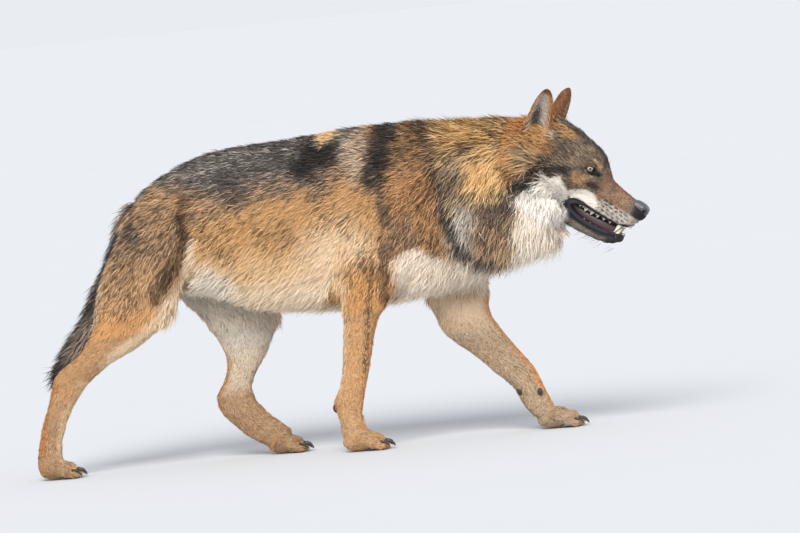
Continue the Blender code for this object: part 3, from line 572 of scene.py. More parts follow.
def mark_throat(m, s):
    """The cream of throat and chest, and the dark lines that bound the ruff."""
    _, z, xr, _ = s.places
    throat = np.interp(z, (0.36, 0.400, 0.443, 0.506, 0.56, 0.60), (0.440, 0.448, 0.455, 0.476, 0.492, 0.53))
    m.lay(ease(-0.010, 0.012, xr - throat) * ease(0.600, 0.560, z), (247, 234, 216), 0.01)
    m.lay(chest_share(s), CHEST_CREAM, 0.01)
    m.lay(0.8 * stripe(xr, z, [(0.257, 0.716), (0.271, 0.683), (0.285, 0.640), (0.292, 0.602), (0.300, 0.565),
                               (0.307, 0.520)], 0.009), (140, 120, 100), 0.80)
    m.lay(0.9 * stripe(xr, z, [(0.307, 0.520), (0.315, 0.480), (0.326, 0.436), (0.336, 0.408), (0.362, 0.386),
                               (0.400, 0.380)], 0.012), (116, 106, 98), 0.88)


def mark_back(m, s):
    """The line of the back stays dark."""
    x, z, _, _ = s.places
    middle, up = np.abs(s.y), ease(0.3, 0.8, s.normals[:, 2])
    ridge = ease(0.045, 0.015, middle) * up * ease(0.17, 0.10, x)
    m.lay(ridge * (1 - blob(x, z, (0.066, 0.700), (0.034, 0.020))), (150, 142, 134), 0.90)
    m.lay(ease(0.022, 0.008, middle) * up * ease(0.17, 0.22, x), None, 0.72)


def mark_thighs(m, s):
    """The thighs, with a cream front and a paler rear edge on the right one."""
    x, z, xr, zr = s.places
    hind = s.hind
    m.lay(hind, (202, 162, 120), 0.24)
    m.lay(hind * ease(0.42, 0.50, zr), (190, 154, 118), 0.40)
    m.lay(blob(xr, zr, (-0.322, 0.605), (0.024, 0.030), -20), (196, 160, 120), 0.34)
    m.lay(0.8 * blob(xr, zr, (-0.375, 0.535), (0.016, 0.030), 15), (140, 122, 106), 0.72)
    m.lay(hind * ease(0.39, 0.32, z), (220, 168, 112), 0.06)
    m.lay(stripe(xr, z, [(-0.268, 0.585), (-0.270, 0.520), (-0.286, 0.470), (-0.322, 0.422), (-0.348, 0.380)],
                 0.012) * s.right, (136, 104, 76), 0.62)
    front = along(x, z, [(-0.245, 0.49), (-0.262, 0.45), (-0.290, 0.40), (-0.340, 0.335)])[0]
    m.lay(hind * s.right * ease(0.020, 0.006, front), (236, 214, 184), 0.02)
    rear = along(x, z, [(-0.400, 0.560), (-0.440, 0.500), (-0.470, 0.420), (-0.492, 0.340)])[0]
    m.lay(hind * s.right * ease(0.024, 0.008, rear), (208, 178, 144), 0.16)


def mark_legs(m, s):
    """The ground of lower legs and paws, and the foreleg's upper part."""
    x, z, xr, zr = s.places
    low, fore, upper = s.low, s.fore, s.upper_fore
    m.lay(low * fore, (206, 162, 115), 0.02)
    m.lay(low * (1 - fore), (198, 156, 112), 0.03)
    m.lay(low * (1 - fore) * ease(0.20, 0.12, z), (178, 144, 110), 0.03)
    m.lay(low * fore * ease(0.13, 0.05, z), (196, 158, 118), 0.03)
    m.lay(low * fore * s.left * ease(0.30, 0.22, z), (186, 160, 132), 0.05)
    m.lay(upper * ease(0.46, 0.38, z), (212, 160, 104), 0.10)
    # painted shade at the near elbow, where the foreleg meets the chest
    m.lay(blob(x, z, (0.131, 0.418), (0.026, 0.022)) * s.right, None, 0.45)
    m.lay(upper * s.right * ease(0.092, 0.070, xr) * ease(0.335, 0.365, zr), (234, 202, 160), 0.03)
    m.lay(0.8 * stripe(xr, z, [(0.176, 0.455), (0.170, 0.400), (0.158, 0.330)], 0.011) * s.right * upper,
          (160, 124, 92), 0.50)
    streak = stripe(x, z, [(0.141, 0.402), (0.126, 0.326), (0.103, 0.183)], 0.006)
    m.lay(streak * s.right * np.maximum(low, upper) * (0.4 + cloud(s.p, 0.010, 11)), None, 0.85)


def mark_leg_sides(m, s):
    """Paler and redder edges of the legs, and their pale insides."""
    _, z, xr, _ = s.places
    low, fore, rear = s.low, s.fore, 1 - s.fore
    ahead, inner = s.normals[:, 0], s.inner
    upper = np.maximum(low, s.upper_fore)
    m.lay(ease(0.3, 0.9, -ahead) * upper * fore * ease(0.10, 0.16, z) * 0.6, (226, 198, 160), 0.02)
    m.lay(np.maximum(upper, s.hind) * inner * 0.9 * ease(0.20, 0.30, z), (248, 226, 196), 0.02)
    m.lay(low * rear * inner * 0.85 * ease(0.13, 0.17, z) * ease(-0.75, -0.35, ahead), (214, 198, 176), 0.04)
    m.lay(low * rear * s.right * ease(0.25, 0.85, ahead) * 0.8, (226, 196, 156), 0.02)
    m.lay(low * rear * ease(0.30, 0.90, -ahead) * 0.6, (196, 142, 88), 0.03)
    m.lay(np.maximum(low, s.hind) * rear * inner * 0.7 * ease(0.20, 0.28, z), (216, 208, 196), 0.04)
    m.lay(low * fore * ease(0.35, 0.9, ahead) * 0.8, (212, 160, 106), 0.02)
    m.lay(chest_share(s) * ease(0.30, 0.34, z), CHEST_CREAM, 0.01)

    right_hind = np.maximum(low, s.hind) * rear * s.right
    shin_front = stripe(xr, z, [(-0.345, 0.325), (-0.368, 0.306), (-0.414, 0.276), (-0.470, 0.234)], 0.016)
    m.lay(right_hind * shin_front, (240, 216, 182), 0.02)
    foot_front = stripe(xr, z, [(-0.519, 0.202), (-0.559, 0.142), (-0.581, 0.080)], 0.013)
    m.lay(0.7 * right_hind * foot_front, (228, 198, 158), 0.02)
    foot_rear = stripe(xr, z, [(-0.588, 0.200), (-0.609, 0.160), (-0.623, 0.106), (-0.634, 0.064)], 0.009)
    m.lay(0.8 * right_hind * foot_rear, (186, 128, 76), 0.03)
    wrist = stripe(xr, z, [(0.440, 0.190), (0.466, 0.140), (0.486, 0.095)], 0.013)
    m.lay(0.8 * low * fore * s.left * wrist, (214, 152, 92), 0.02)


def mark_tail(m, s):
    """The tail, darker behind and black at its tip."""
    tail = (s.part == "tail") * 1.0
    ahead = s.normals[:, 0]
    tip = along(s.x, s.z, LINES["tail"])[1]
    m.lay(tail, (176, 156, 136), 0.56)
    m.lay(tail * ease(0.0, 0.8, -ahead), (130, 120, 110), 0.88)
    m.lay(tail * ease(0.30, 0.75, ahead) * 0.6, (196, 164, 128), 0.30)
    m.lay(tail * ease(0.80, 0.97, tip), DARK, 0.97)


BODY_MARKS = (mark_belly, mark_saddle, mark_shoulder, mark_ruff, mark_throat, mark_back, mark_thighs,
              mark_legs, mark_leg_sides, mark_tail)
CHEST_CREAM = (255, 240, 220)


def body_marks(points, normals, part):
    """Markings of the body at row points: the ground colour and the dark share."""
    s = BodySpots(points, normals, part)
    m = Marks(len(points), (206, 160, 110), 0.10)
    for mark in BODY_MARKS:
        mark(m, s)
    uneven = (m.dark > 0.06) * 1.0
    m.dark = np.clip(m.dark + (0.45 * s.rough + 0.40 * s.fine) * uneven, 0, 1)
    return m


class HeadSpots:
    """Where points lie on the head: in its frame, with rough edges, and how far from its middle."""

    def __init__(self, points):
        self.h = to_head(points)
        self.x, self.y, self.z = self.h.T
        self.w = np.abs(self.y)
        self.rough = cloud(self.h, 0.020, 21) - 0.5
        self.zr = self.z + 0.006 * self.rough
        self.places = self.x, self.z, self.zr, self.w


def mark_crown(m, s):
    """Crown, ear bases and nape."""
    x, z, zr, w = s.places
    m.lay(blob(x, zr, (0.056, 0.050), (0.024, 0.014), -10), (206, 162, 108), 0.14)
    m.lay(blob(x, z, (0.026, 0.026), (0.012, 0.011), -20) * ease(0.030, 0.040, w), (208, 200, 190), 0.10)
    m.lay(ease(0.045, 0.015, x), (206, 160, 108), 0.22)
    m.lay(blob(x, zr, (0.024, -0.006), (0.030, 0.020), 20), (204, 156, 104), 0.26)
    m.lay(blob(x, zr, (0.016, -0.052), (0.026, 0.024)), (198, 168, 132), 0.30)
    m.lay(ease(0.024, 0.012, w) * ease(0.0, 0.04, x) * ease(0.185, 0.165, x) * ease(0.0, 0.015, z),
          (122, 114, 106), 0.74)


def mark_cheek(m, s):
    """The cream of cheek, lip line and throat, and the dark line above it from the eye."""
    x, z, zr, w = s.places
    edge = np.interp(x, (-0.10, 0.02, 0.053, 0.066, 0.074, 0.090, 0.101, 0.112, 0.129, 0.145, 0.160, 0.194,
                         0.235, 0.30),
                     (-0.20, -0.150, -0.134, -0.090, -0.066, -0.045, -0.034, -0.044, -0.051, -0.043, -0.035,
                      -0.036, -0.038, -0.038))
    m.lay(ease(0.004, -0.005, z - edge + 0.008 * s.rough), (255, 248, 238), 0.01)
    m.lay(0.6 * stripe(x, zr, [(0.136, 0.006), (0.118, -0.010), (0.104, -0.020)], 0.0036, 0.8)
          * ease(0.020, 0.035, w), (112, 98, 88), 0.72)
    m.lay(stripe(x, zr, [(0.103, -0.022), (0.090, -0.027), (0.076, -0.036), (0.063, -0.052),
                         (0.059, -0.074), (0.052, -0.099), (0.037, -0.112)], 0.0090, 0.8)
          * ease(0.020, 0.035, w), (92, 84, 80), 0.88)


def mark_muzzle(m, s):
    """The muzzle and the pale bed of the whiskers."""
    x, z, zr, w = s.places
    muzzle = ease(0.168, 0.184, x + 0.25 * (z - 0.01)) * ease(-0.046, -0.034, zr)
    m.lay(muzzle, (176, 138, 108), 0.26)
    m.lay(muzzle * ease(0.016, 0.006, w) * ease(-0.02, 0.0, z), (166, 122, 98), 0.34)
    m.lay(muzzle * 0.7 * ease(0.50, 0.62, cloud(s.h, 0.009, 23)), (142, 122, 108), 0.30)
    m.lay(muzzle * ease(0.252, 0.275, x), (140, 126, 120), 0.40)
    m.lay(ease(0.196, 0.206, x) * ease(-0.028, -0.036, zr), (208, 198, 188), 0.10)


def mark_eye(m, s):
    """Round the eye: the pale brow and lower lid, the dark lids and the tear line."""
    x, z, zr, w = s.places
    side_face = ease(0.020, 0.032, w)
    m.lay(blob(x, zr, (0.138, -0.022), (0.020, 0.014), 10) * side_face, (200, 160, 120), 0.20)
    m.lay(stripe(x, z, [(0.144, 0.0300), (0.153, 0.0260), (0.162, 0.0215)], 0.0030) * ease(0.012, 0.02, w),
          (222, 190, 148), 0.06)
    m.lay(blob(x, zr, (0.168, -0.019), (0.016, 0.006), 15) * side_face, (90, 74, 66), 0.60)
    m.lay(blob(x, z, (0.140, 0.016), (0.014, 0.006), 15) * side_face, (120, 98, 76), 0.50)
    m.lay(blob(x, z, (0.153, 0.005), (0.0168, 0.0074), 5, 0.3) * side_face, (36, 28, 24), 0.98)
    m.lay(0.8 * stripe(x, z, [(0.1385, 0.0015), (0.1475, -0.0035), (0.1580, -0.0050)], 0.0013) * side_face,
          (200, 176, 154), 0.05)
    m.lay(stripe(x, z, [(0.164, 0.007), (0.169, 0.004)], 0.0024) * ease(0.010, 0.016, w), (40, 30, 26), 0.95)


def whisker_places():
    """The rows of whiskers on a lip: row, number in the row, x and z in the head's frame."""
    for row in range(4):
        for k in range(5):
            yield row, k, 0.0135 * k + 0.004 * (row % 2), -0.0075 * row - 0.0012 * k


def mark_lips(m, s):
    """Whisker dots, lips, the lower jaw and the nose's bed."""
    x, z, _, w = s.places
    for _, _, ahead, up in whisker_places():
        dot = blob(x, z, (0.212 + ahead, -0.032 + up), (0.0042, 0.0013), -10)
        m.lay(dot * ease(0.008, 0.014, w), (92, 82, 76), 0.80)
    rim = np.interp(x, (0.14, 0.16, 0.20, 0.26, 0.285), (-0.066, -0.0612, -0.0632, -0.0612, -0.0495))
    m.lay(ease(0.0015, -0.0015, z - rim) * ease(0.134, 0.144, x) * ease(-0.090, -0.080, z), (62, 59, 64), 1.0)
    jaw = ease(-0.078, -0.083, z) * ease(0.146, 0.162, x + 0.10 * (z + 0.085))
    m.lay(jaw, (150, 138, 126), 0.40)
    m.lay(jaw * ease(-0.113, -0.106, z - 0.35 * np.maximum(x - 0.235, 0)), (66, 64, 72), 1.0)
    m.lay(jaw * ease(0.245, 0.262, x), (74, 72, 76), 0.80)
    m.lay(blob(x, z, (0.147, -0.083), (0.0125, 0.0130)) * ease(0.02, 0.03, w), (54, 51, 56), 1.0)
    m.lay(ease(0.262, 0.276, x + 0.3 * (z + 0.01)) * ease(-0.034, -0.028, z) * (z < 0.004), (60, 54, 54), 0.9)


def head_marks(points):
    """Markings of the head at row points."""
    s = HeadSpots(points)
    m = Marks(len(points), (158, 138, 116), 0.52)
    for mark in (mark_crown, mark_cheek, mark_muzzle, mark_eye, mark_lips):
        mark(m, s)
    m.dark = np.clip(m.dark + 0.5 * s.rough * (m.dark > 0.10) * (m.dark < 0.9), 0, 1)
    return m


# ------------------------------------------------------------------ the head
# lofted forms, as rows of (x, top, bottom, half width, how much narrower it is above than below)
HEAD_SKIN = [
    (-0.120, -0.030, -0.125, 0.052, 0.15),
    (-0.060, 0.000, -0.112, 0.060, 0.20),
    (-0.020, 0.032, -0.108, 0.064, 0.26),
    (0.030, 0.056, -0.112, 0.066, 0.30),
    (0.070, 0.057, -0.114, 0.064, 0.28),
    (0.108, 0.0535, -0.112, 0.0600, 0.22),
    (0.135, 0.0500, -0.092, 0.0545, 0.14),
    (0.152, 0.0435, -0.0715, 0.0490, 0.12),
    (0.165, 0.0340, -0.0675, 0.0440, 0.10),
    (0.180, 0.0208, -0.0668, 0.0390, 0.10),
    (0.197, 0.0082, -0.0668, 0.0355, 0.12),
    (0.230, 0.0022, -0.0668, 0.0325, 0.14),
    (0.262, -0.0008, -0.0618, 0.0295, 0.12),
    (0.284, -0.0030, -0.0490, 0.0245, 0.05),
    (0.292, -0.0065, -0.0340, 0.0180, 0.00),
]
JAW_SKIN = [
    (0.070, -0.086, -0.118, 0.046, 0),
    (0.110, -0.088, -0.126, 0.042, 0),
    (0.140, -0.091, -0.1285, 0.038, 0),
    (0.158, -0.0945, -0.1285, 0.0335, 0),
    (0.183, -0.0985, -0.1275, 0.0290, 0),
    (0.212, -0.0990, -0.1235, 0.0255, 0),
    (0.240, -0.0960, -0.1190, 0.0225, 0),
    (0.266, -0.0880, -0.1110, 0.0190, 0),
    (0.280, -0.0850, -0.1000, 0.0130, 0),
]
# paths along the left side of the mouth, and their radii
LOWER_LIP = [
    (0.143, 0.0400, -0.0865), (0.160, 0.0355, -0.0955), (0.180, 0.0310, -0.0995), (0.208, 0.0272, -0.0995),
    (0.235, 0.0240, -0.0965), (0.256, 0.0210, -0.0910), (0.272, 0.0160, -0.0850), (0.281, 0.0070, -0.0825),
]
UPPER_LIP = [
    (0.146, 0.0405, -0.0800), (0.156, 0.0385, -0.0715), (0.175, 0.0360, -0.0660), (0.205, 0.0330, -0.0655),
    (0.235, 0.0300, -0.0640), (0.258, 0.0262, -0.0600), (0.276, 0.0200, -0.0520), (0.290, 0.0100, -0.0400),
]
FLEW = [
    (0.143, 0.0370, -0.0630), (0.160, 0.0332, -0.0570), (0.185, 0.0292, -0.0552), (0.215, 0.0265, -0.0545),
    (0.245, 0.0240, -0.0520),
]
LOWER_LIP_RADII = [0.0052, 0.0054, 0.0054, 0.0052, 0.0048, 0.0044, 0.0040, 0.0034]
UPPER_LIP_RADII = [0.0044, 0.0046, 0.0044, 0.0042, 0.0042, 0.0042, 0.0040, 0.0036]
FLEW_RADII = [0.0085, 0.0090, 0.0090, 0.0088, 0.0080]
FINE_RADIUS = 0.026                      # round the eyes the skin has smaller faces
PUPIL_RADIUS, IRIS_RADIUS, LIMBUS_RADIUS = 0.0027, 0.0061, 0.0069
LIP_BLACK, MOUTH_RED = (50, 48, 54), (92, 40, 42)


def mirrored(path, side):
    """A path of the left side, on this side."""
    return [(x, side * y, z) for x, y, z in path]


def eye_axes(side):
    """The eye's centre, gaze, the opening's direction towards the nose, and up, in the head's frame."""
    turn = Matrix.Rotation(side * EYE_OUTWARD, 4, "Z") @ Matrix.Rotation(math.radians(-6), 4, "Y")
    gaze = np.array(turn @ Vector((1, 0, 0)))
    ahead = -side * np.array(turn @ Vector((0, 1, 0)))
    up = np.array(turn @ Vector((0, 0, 1)))
    tilt = math.radians(7)
    ahead, up = ahead * math.cos(tilt) + up * math.sin(tilt), up * math.cos(tilt) - ahead * math.sin(tilt)
    centre = np.array((EYE_AT[0], side * EYE_AT[1], EYE_AT[2]))
    return centre, gaze, ahead, up


def sink_eyes(h):
    """Lids that follow the eyeballs, and an opening that shows them."""
    for side in SIDES.values():
        centre, gaze, ahead, up = eye_axes(side)
        d = h - centre
        g, a, v = d @ gaze, d @ ahead, d @ up
        rho = np.hypot(a, v)
        near = (rho < 0.024) & (g > -0.004) & (g < 0.030)
        opening = np.hypot((a - EYE_OPENING_AHEAD) / EYE_HALF_OPENING[0], v / EYE_HALF_OPENING[1])
        lid = EYE_RADIUS + LID_THICKNESS - LID_RADIUS + np.sqrt(np.maximum(LID_RADIUS ** 2 - rho ** 2, 1e-6))
        share = 1 - ease(0.011, 0.021, rho)
        target = g + (lid - g) * share
        inside = np.sqrt(np.maximum((EYE_RADIUS - 0.0025) ** 2 - rho ** 2, 0)) * 0.9
        target = np.where(opening < 1, inside, target)
        h[near] += (gaze[None, :] * (target - g)[:, None])[near]
    return h


def head_forms():
    """The overlapping forms that the head's skin is fused from."""
    forms = [loft(HEAD_SKIN), loft(JAW_SKIN, square=2.4)]
    for side in SIDES.values():
        forms += [
            ball((0.134, side * 0.0320, 0.0265), (0.025, 0.0150, 0.0110)),      # brow
            ball((0.104, side * 0.0500, -0.0140), (0.036, 0.0140, 0.0200)),     # cheekbone
            ball((0.060, side * 0.0520, -0.0600), (0.048, 0.0200, 0.0400)),     # cheek
            ball((0.004, side * 0.0440, 0.0040), (0.028, 0.0180, 0.0280)),      # ear's base
            ball((0.236, side * 0.0190, -0.0510), (0.050, 0.0155, 0.0155)),     # whisker bed
            ball((0.262, side * 0.0175, -0.0360), (0.026, 0.0120, 0.0170)),     # beside the nose
            strand(mirrored(LOWER_LIP, side), LOWER_LIP_RADII),
            strand(mirrored(UPPER_LIP, side), UPPER_LIP_RADII),
            strand(mirrored(FLEW, side), FLEW_RADII),
            ball((0.139, side * 0.0400, -0.0830), (0.011, 0.0060, 0.0130)),     # corner of the mouth
            ball((0.116, side * 0.0400, -0.0780), (0.024, 0.0170, 0.0280)),     # chewing muscle
        ]
    return forms


def refine_round_eyes(mesh):
    """Split the faces round the eyes into smaller ones."""
    bm = bmesh.new()
    bm.from_mesh(mesh)
    chosen = set()
    for side in SIDES.values():
        centre = Vector(eye_axes(side)[0])
        chosen |= {e for e in bm.edges if (e.verts[0].co - centre).length < FINE_RADIUS}
    bmesh.ops.subdivide_edges(bm, edges=list(chosen), cuts=1, use_grid_fill=True, smooth=0.0)
    bmesh.ops.triangulate(bm, faces=[f for f in bm.faces if len(f.verts) > 4])
    bm.to_mesh(mesh)
    bm.free()


def dents_in(h):
    """How deep the forehead's furrow, the lip's groove and the folds lie at points of the head."""
    x, y, z = h.T
    w = np.abs(y)
    furrow = ease(0.009, 0.0, w) * ease(0.070, 0.10, x) * ease(0.185, 0.165, x) * ease(0.0, 0.02, z)
    groove = ease(0.0035, 0.0, w) * ease(0.270, 0.280, x) * ease(-0.028, -0.034, z)
    nose_fold = stripe(x, z, [(0.196, -0.004), (0.215, -0.026), (0.245, -0.030), (0.272, -0.020)], 0.004, 0.9)
    mouth_fold = stripe(x, z, [(0.140, -0.060), (0.128, -0.080), (0.132, -0.100)], 0.005, 0.9)
    dent = 0.0022 * furrow
    dent += 0.0028 * groove
    dent += 0.0012 * nose_fold * ease(0.012, 0.02, w)
    dent += 0.0018 * mouth_fold * ease(0.025, 0.035, w)
    return dent - 0.0008 * (cloud(h, 0.006, 31) - 0.5)


def head_skin(body):
    """The head's skin with its open mouth, lids, lips and folds, as a mesh in the head's frame."""
    mesh = fused("skin_head", head_forms(), 0.0023, 4)
    refine_round_eyes(mesh)
    h = meet_body(points_of(mesh), body)
    h = h - normals_of(mesh) * dents_in(h)[:, None]
    move_points(mesh, sink_eyes(h))
    return mesh


def meet_body(h, body):
    """The rear of the head's skin moved onto the body's skin."""
    tree = bvhtree.BVHTree.FromPolygons(points_of(body).tolist(), triangles_of(body).tolist())
    row = from_head(h)
    share = ease(0.085, 0.040, h[:, 0])
    share = np.maximum(share, ease(0.138, 0.112, h[:, 0]) * ease(-0.050, -0.085, h[:, 2]))
    for i in np.flatnonzero(share > 0):
        at = tree.find_nearest(row[i].tolist())[0]
        row[i] += (np.array(at) - row[i]) * share[i]
    met = to_head(row)
    w = np.abs(met[:, 1])
    cheek = blob(met[:, 0], met[:, 2], (0.092, -0.066), (0.048, 0.036), 0, 0.8) * ease(0.010, 0.030, w)
    met[:, 1] += np.sign(met[:, 1]) * 0.0075 * cheek
    return met


def head_lengths(h):
    """The coat's length on the head, and where it falls from cheek and throat."""
    x, z = h[:, 0], h[:, 2]
    length = np.interp(x, (-0.10, 0.0, 0.05, 0.10, 0.14, 0.18, 0.22, 0.30),
                       (0.042, 0.034, 0.024, 0.0155, 0.0100, 0.0062, 0.0050, 0.0038))
    cheek = ease(-0.010, -0.070, z) * ease(0.155, 0.085, x)
    length = np.minimum(length * (1 + (0.3 + 0.8 * ease(0.125, 0.085, x)) * cheek), 0.042)
    jaw = ease(-0.078, -0.085, z) * ease(0.130, 0.150, x)
    length = length + (np.where(z < -0.112, 0.0085, 0.0035) - length) * jaw
    for side in SIDES.values():
        far = np.linalg.norm(h - eye_axes(side)[0], axis=1)
        length = length * (1 - 0.62 * ease(0.034, 0.018, far))
    return length, cheek


def head_lie(h, cheek):
    """The way the coat lies on the head: back, out over the cheeks, down, and away from the eyes."""
    x, y, z = h.T
    w = np.abs(y)
    lie = np.stack([-np.ones_like(x), np.zeros_like(x), np.zeros_like(x)], 1)
    out = np.sign(y) * ease(0.0, 0.02, w)
    lie[:, 1] += out * (0.10 + 0.45 * ease(0.10, 0.04, x))
    lie[:, 2] += 0.35 * ease(0.02, 0.05, z) * ease(0.10, 0.16, x)
    lie[:, 2] -= 0.35 * ease(0.03, -0.03, x) * ease(0.03, 0.0, z)
    lie[:, 2] -= 0.5 * ease(-0.04, -0.06, z) * ease(0.17, 0.20, x)
    falling = np.stack([-0.25 * np.ones_like(x), 0.20 * out, -0.97 * np.ones_like(x)], 1)
    lie += (falling - lie) * (0.92 * cheek)[:, None]
    for side in SIDES.values():
        centre, gaze, ahead, _ = eye_axes(side)
        d = h - centre
        near = ease(0.026, 0.012, np.linalg.norm(d, axis=1))[:, None]
        away = unit(d - (d @ gaze)[:, None] * gaze - 0.012 * ahead)
        lie = lie * (1 - near) + near * away
    return unit(lie)


def head_fields(h):
    """The coat's sizes and lie on the head, in the head's frame."""
    length, cheek = head_lengths(h)
    return {
        "length": length,
        "width": np.clip(0.055 * length + 0.00050, 0.00065, 0.0022),
        "rise": np.interp(length, (0.004, 0.012, 0.030, 0.050), (22, 30, 35, 37)),
        "droop": np.interp(length, (0.004, 0.012, 0.030, 0.050), (8, 10, 12, 14)),
        "cover": np.interp(length, (0.004, 0.012, 0.040), (5.0, 7.5, 11)),
        "lie": head_lie(h, cheek),
    }


# ------------------------------------------------------------------ ears
EAR_ROWS, EAR_COLUMNS = 34, 22
EAR_HEIGHT, EAR_HALF_WIDTH = 0.136, 0.037
EAR_ROOT = (0.013, 0.056, -0.024)        # the left ear's; the right one's is its mirror image
EAR_TIPS = {-1: (-0.0189, -0.079, 0.110), 1: (-0.0053, 0.079, 0.113)}      # by side


def ear_frame(side):
    """An ear's root, its direction to the tip, its length, the way it opens, and the way across."""
    root = np.array((EAR_ROOT[0], side * EAR_ROOT[1], EAR_ROOT[2]))
    up = np.array(EAR_TIPS[side]) - root
    length = np.linalg.norm(up)
    up = up / length
    opening = np.array((0.62, side * 0.78, 0.05))
    opening = unit(opening - up * (opening @ up))
    return root, up, length, opening, np.cross(up, opening)


def ear_outline(v):
    """The half width of an ear at a share of its height, as a share of its widest."""
    return np.sqrt(np.maximum(1 - v ** 8, 0.0009)) * (1.00 - 0.20 * v - 0.33 * v * v)


def ear_place(h, side):
    """The height up an ear and the distance across it, as shares, of points in the head's frame."""
    root, up, _, _, over = ear_frame(side)
    return (h - root) @ up / EAR_HEIGHT, (h - root) @ over / EAR_HALF_WIDTH


def ear_grid(side, layer):
    """Points of an ear's inner (0) or outer (1) side, in the head's frame, rows from root to tip."""
    root, up, length, opening, over = ear_frame(side)
    grid = np.zeros((EAR_ROWS + 1, EAR_COLUMNS + 1, 3))
    for i in range(EAR_ROWS + 1):
        v = 1 - (1 - i / EAR_ROWS) ** 1.5
        half = EAR_HALF_WIDTH * ear_outline(v)
        cup = 0.024 * (1 - 0.50 * v) * min(1, 2.2 * ear_outline(v))
        for j in range(EAR_COLUMNS + 1):
            u = 2 * j / EAR_COLUMNS - 1
            depth = cup * (1 - u * u) + 0.004 * (1 - v)
            thick = 0.0045 * (1 - 0.55 * v) * (1 - 0.8 * abs(u) ** 3)
            push = depth + (thick if layer else 0) + 0.006 * v * v
            grid[i, j] = root + up * length * v + over * half * u - opening * push
    return grid


def ear_mesh(side):
    """An ear, inner side then outer side, open only at its root."""
    inner, outer = ear_grid(side, 0), ear_grid(side, 1)
    opening = ear_frame(side)[3]
    columns = EAR_COLUMNS + 1
    points = np.concatenate([inner.reshape(-1, 3), outer.reshape(-1, 3)])
    half = len(points) // 2
    faces = []
    for i in range(EAR_ROWS):
        for j in range(EAR_COLUMNS):
            a = i * columns + j
            faces.append((a, a + 1, a + columns + 1, a + columns))
            faces.append((half + a, half + a + columns, half + a + columns + 1, half + a + 1))
        for j in (0, EAR_COLUMNS):
            a = i * columns + j
            quad = (a, a + columns, half + a + columns, half + a)
            faces.append(quad if j == 0 else quad[::-1])
    looks = np.cross(points[1] - points[0], points[columns] - points[0]) @ opening
    if looks < 0:
        faces = [face[::-1] for face in faces]
    return mesh_of("ear", points, faces)


def ear_fields(e, n, side):
    """The coat of an ear: short outside, longer hairs from the rims inside."""
    _, up, _, opening, over = ear_frame(side)
    inner = n @ opening > 0
    height, across = ear_place(e, side)
    u = np.abs(across)
    length = np.where(inner, 0.007 + 0.012 * ease(0.45, 0.85, u) * ease(0.95, 0.7, height)
                      + 0.012 * ease(0.50, 0.10, height), 0.0050 + 0.016 * ease(0.40, 0.05, height))
    length = length * (1 - 0.72 * ease(0.80, 0.97, height))
    lie = np.tile(up, (len(e), 1))
    lie -= over[None, :] * (np.sign(across) * 0.70 * inner * ease(0.15, 0.5, u))[:, None]
    return {"length": length, "width": 0.0006 + 0.040 * length, "rise": np.where(inner, 36.0, 14.0),
            "droop": np.where(inner, 14.0, 4.0), "cover": np.where(inner, 2.2, 6.0), "lie": unit(lie)}


def ear_marks(points, normals, side):
    """Markings of an ear at row points, with painted shadow in its hollow."""
    height, across = ear_place(to_head(points), side)
    rim = ease(0.60, 0.80, np.abs(across) / np.maximum(ear_outline(np.clip(height, 0, 1)), 0.05))
    inner = ((normals @ HEAD_ROTATION) @ ear_frame(side)[3] > 0) * 1.0
    m = Marks(len(points), (166, 112, 74), 0.26)
    m.lay(rim * (1 - inner), (132, 92, 66), 0.40)
    m.lay(ease(0.45, 0.15, height) * (1 - inner), (190, 132, 78), 0.22)
    m.lay(ease(0.30, 0.10, height) * (1 - inner), (120, 98, 78), 0.55)
    m.lay(inner, (240, 228, 214), 0.04)
    # painted shadow in the hollow of the inner ear
    shadow = blob(across * np.sign(side), height, (0.10, 0.40), (0.34, 0.30))
    m.lay(inner * shadow * 0.85, (126, 112, 106), 0.35)
    m.lay(inner * rim, (224, 170, 114), 0.05)
    m.lay(inner * ease(0.89, 0.96, height), (206, 150, 100), 0.10)
    return m


# ------------------------------------------------------------------ tufts
TUFTS = 470000
LONGEST_PIECE = 63000                    # tufts in one piece of the coat
COAT_HALF_WIDTH = 0.1455                 # no hair reaches further to the side
PATCH = 0.003                            # a tuft's side on the OFBake map
COAT_SLOTS = {"trunk": "saddle", "neck": "saddle", "tail": "dark", "head": "cream", "ear_right": "ochre",
              "ear_left": "ochre"}


def demand(hide, keep):
    """How many tufts each triangle of a skin asks for."""
    f = hide.fields
    weight = keep * f["cover"] / (0.6 * f["width"] * f["length"])
    a, b, c = (hide.points[hide.triangles[:, k]] for k in range(3))
    area = np.linalg.norm(np.cross(b - a, c - a), axis=1) / 2
    return area * weight[hide.triangles].mean(1)


class Tufts:
    """Roots of tufts with all that their shape needs, as arrays of one length."""

    def __init__(self, **arrays):
        self.__dict__.update(arrays)
        self.keys = list(arrays)

    def only(self, chosen):
        """Some of the tufts."""
        return Tufts(**{key: getattr(self, key)[chosen] for key in self.keys})


def grow(hide, keep):
    """Tuft roots, evenly spread by what a skin asks for."""
    share = demand(hide, keep)
    count = int(share.sum())
    edge = np.cumsum(share)
    at = (np.arange(count) + RNG.random(count)) / count * edge[-1]
    chosen = np.minimum(np.searchsorted(edge, at), len(share) - 1)
    r, s = np.sqrt(RNG.random(count)), RNG.random(count)
    shares = np.stack([1 - r, r * (1 - s), r * s], 1)
    corner = hide.triangles[chosen]
    values = {"root": hide.points, "normal": hide.normals}
    values.update((key, hide.fields[key]) for key in ("lie", "length", "width", "rise", "droop"))
    tufts = Tufts(**{key: np.einsum("nk,nk...->n...", shares, v[corner]) for key, v in values.items()})
    tufts.normal = unit(tufts.normal)
    return tufts


def bounded(colours):
    """Colours no brighter than white hair, their hue kept."""
    return colours / np.maximum(colours.max(1, keepdims=True) / 0.98, 1)


def loosely(amount, count):
    """Random numbers round 1."""
    return 1 + amount * RNG.standard_normal(count)


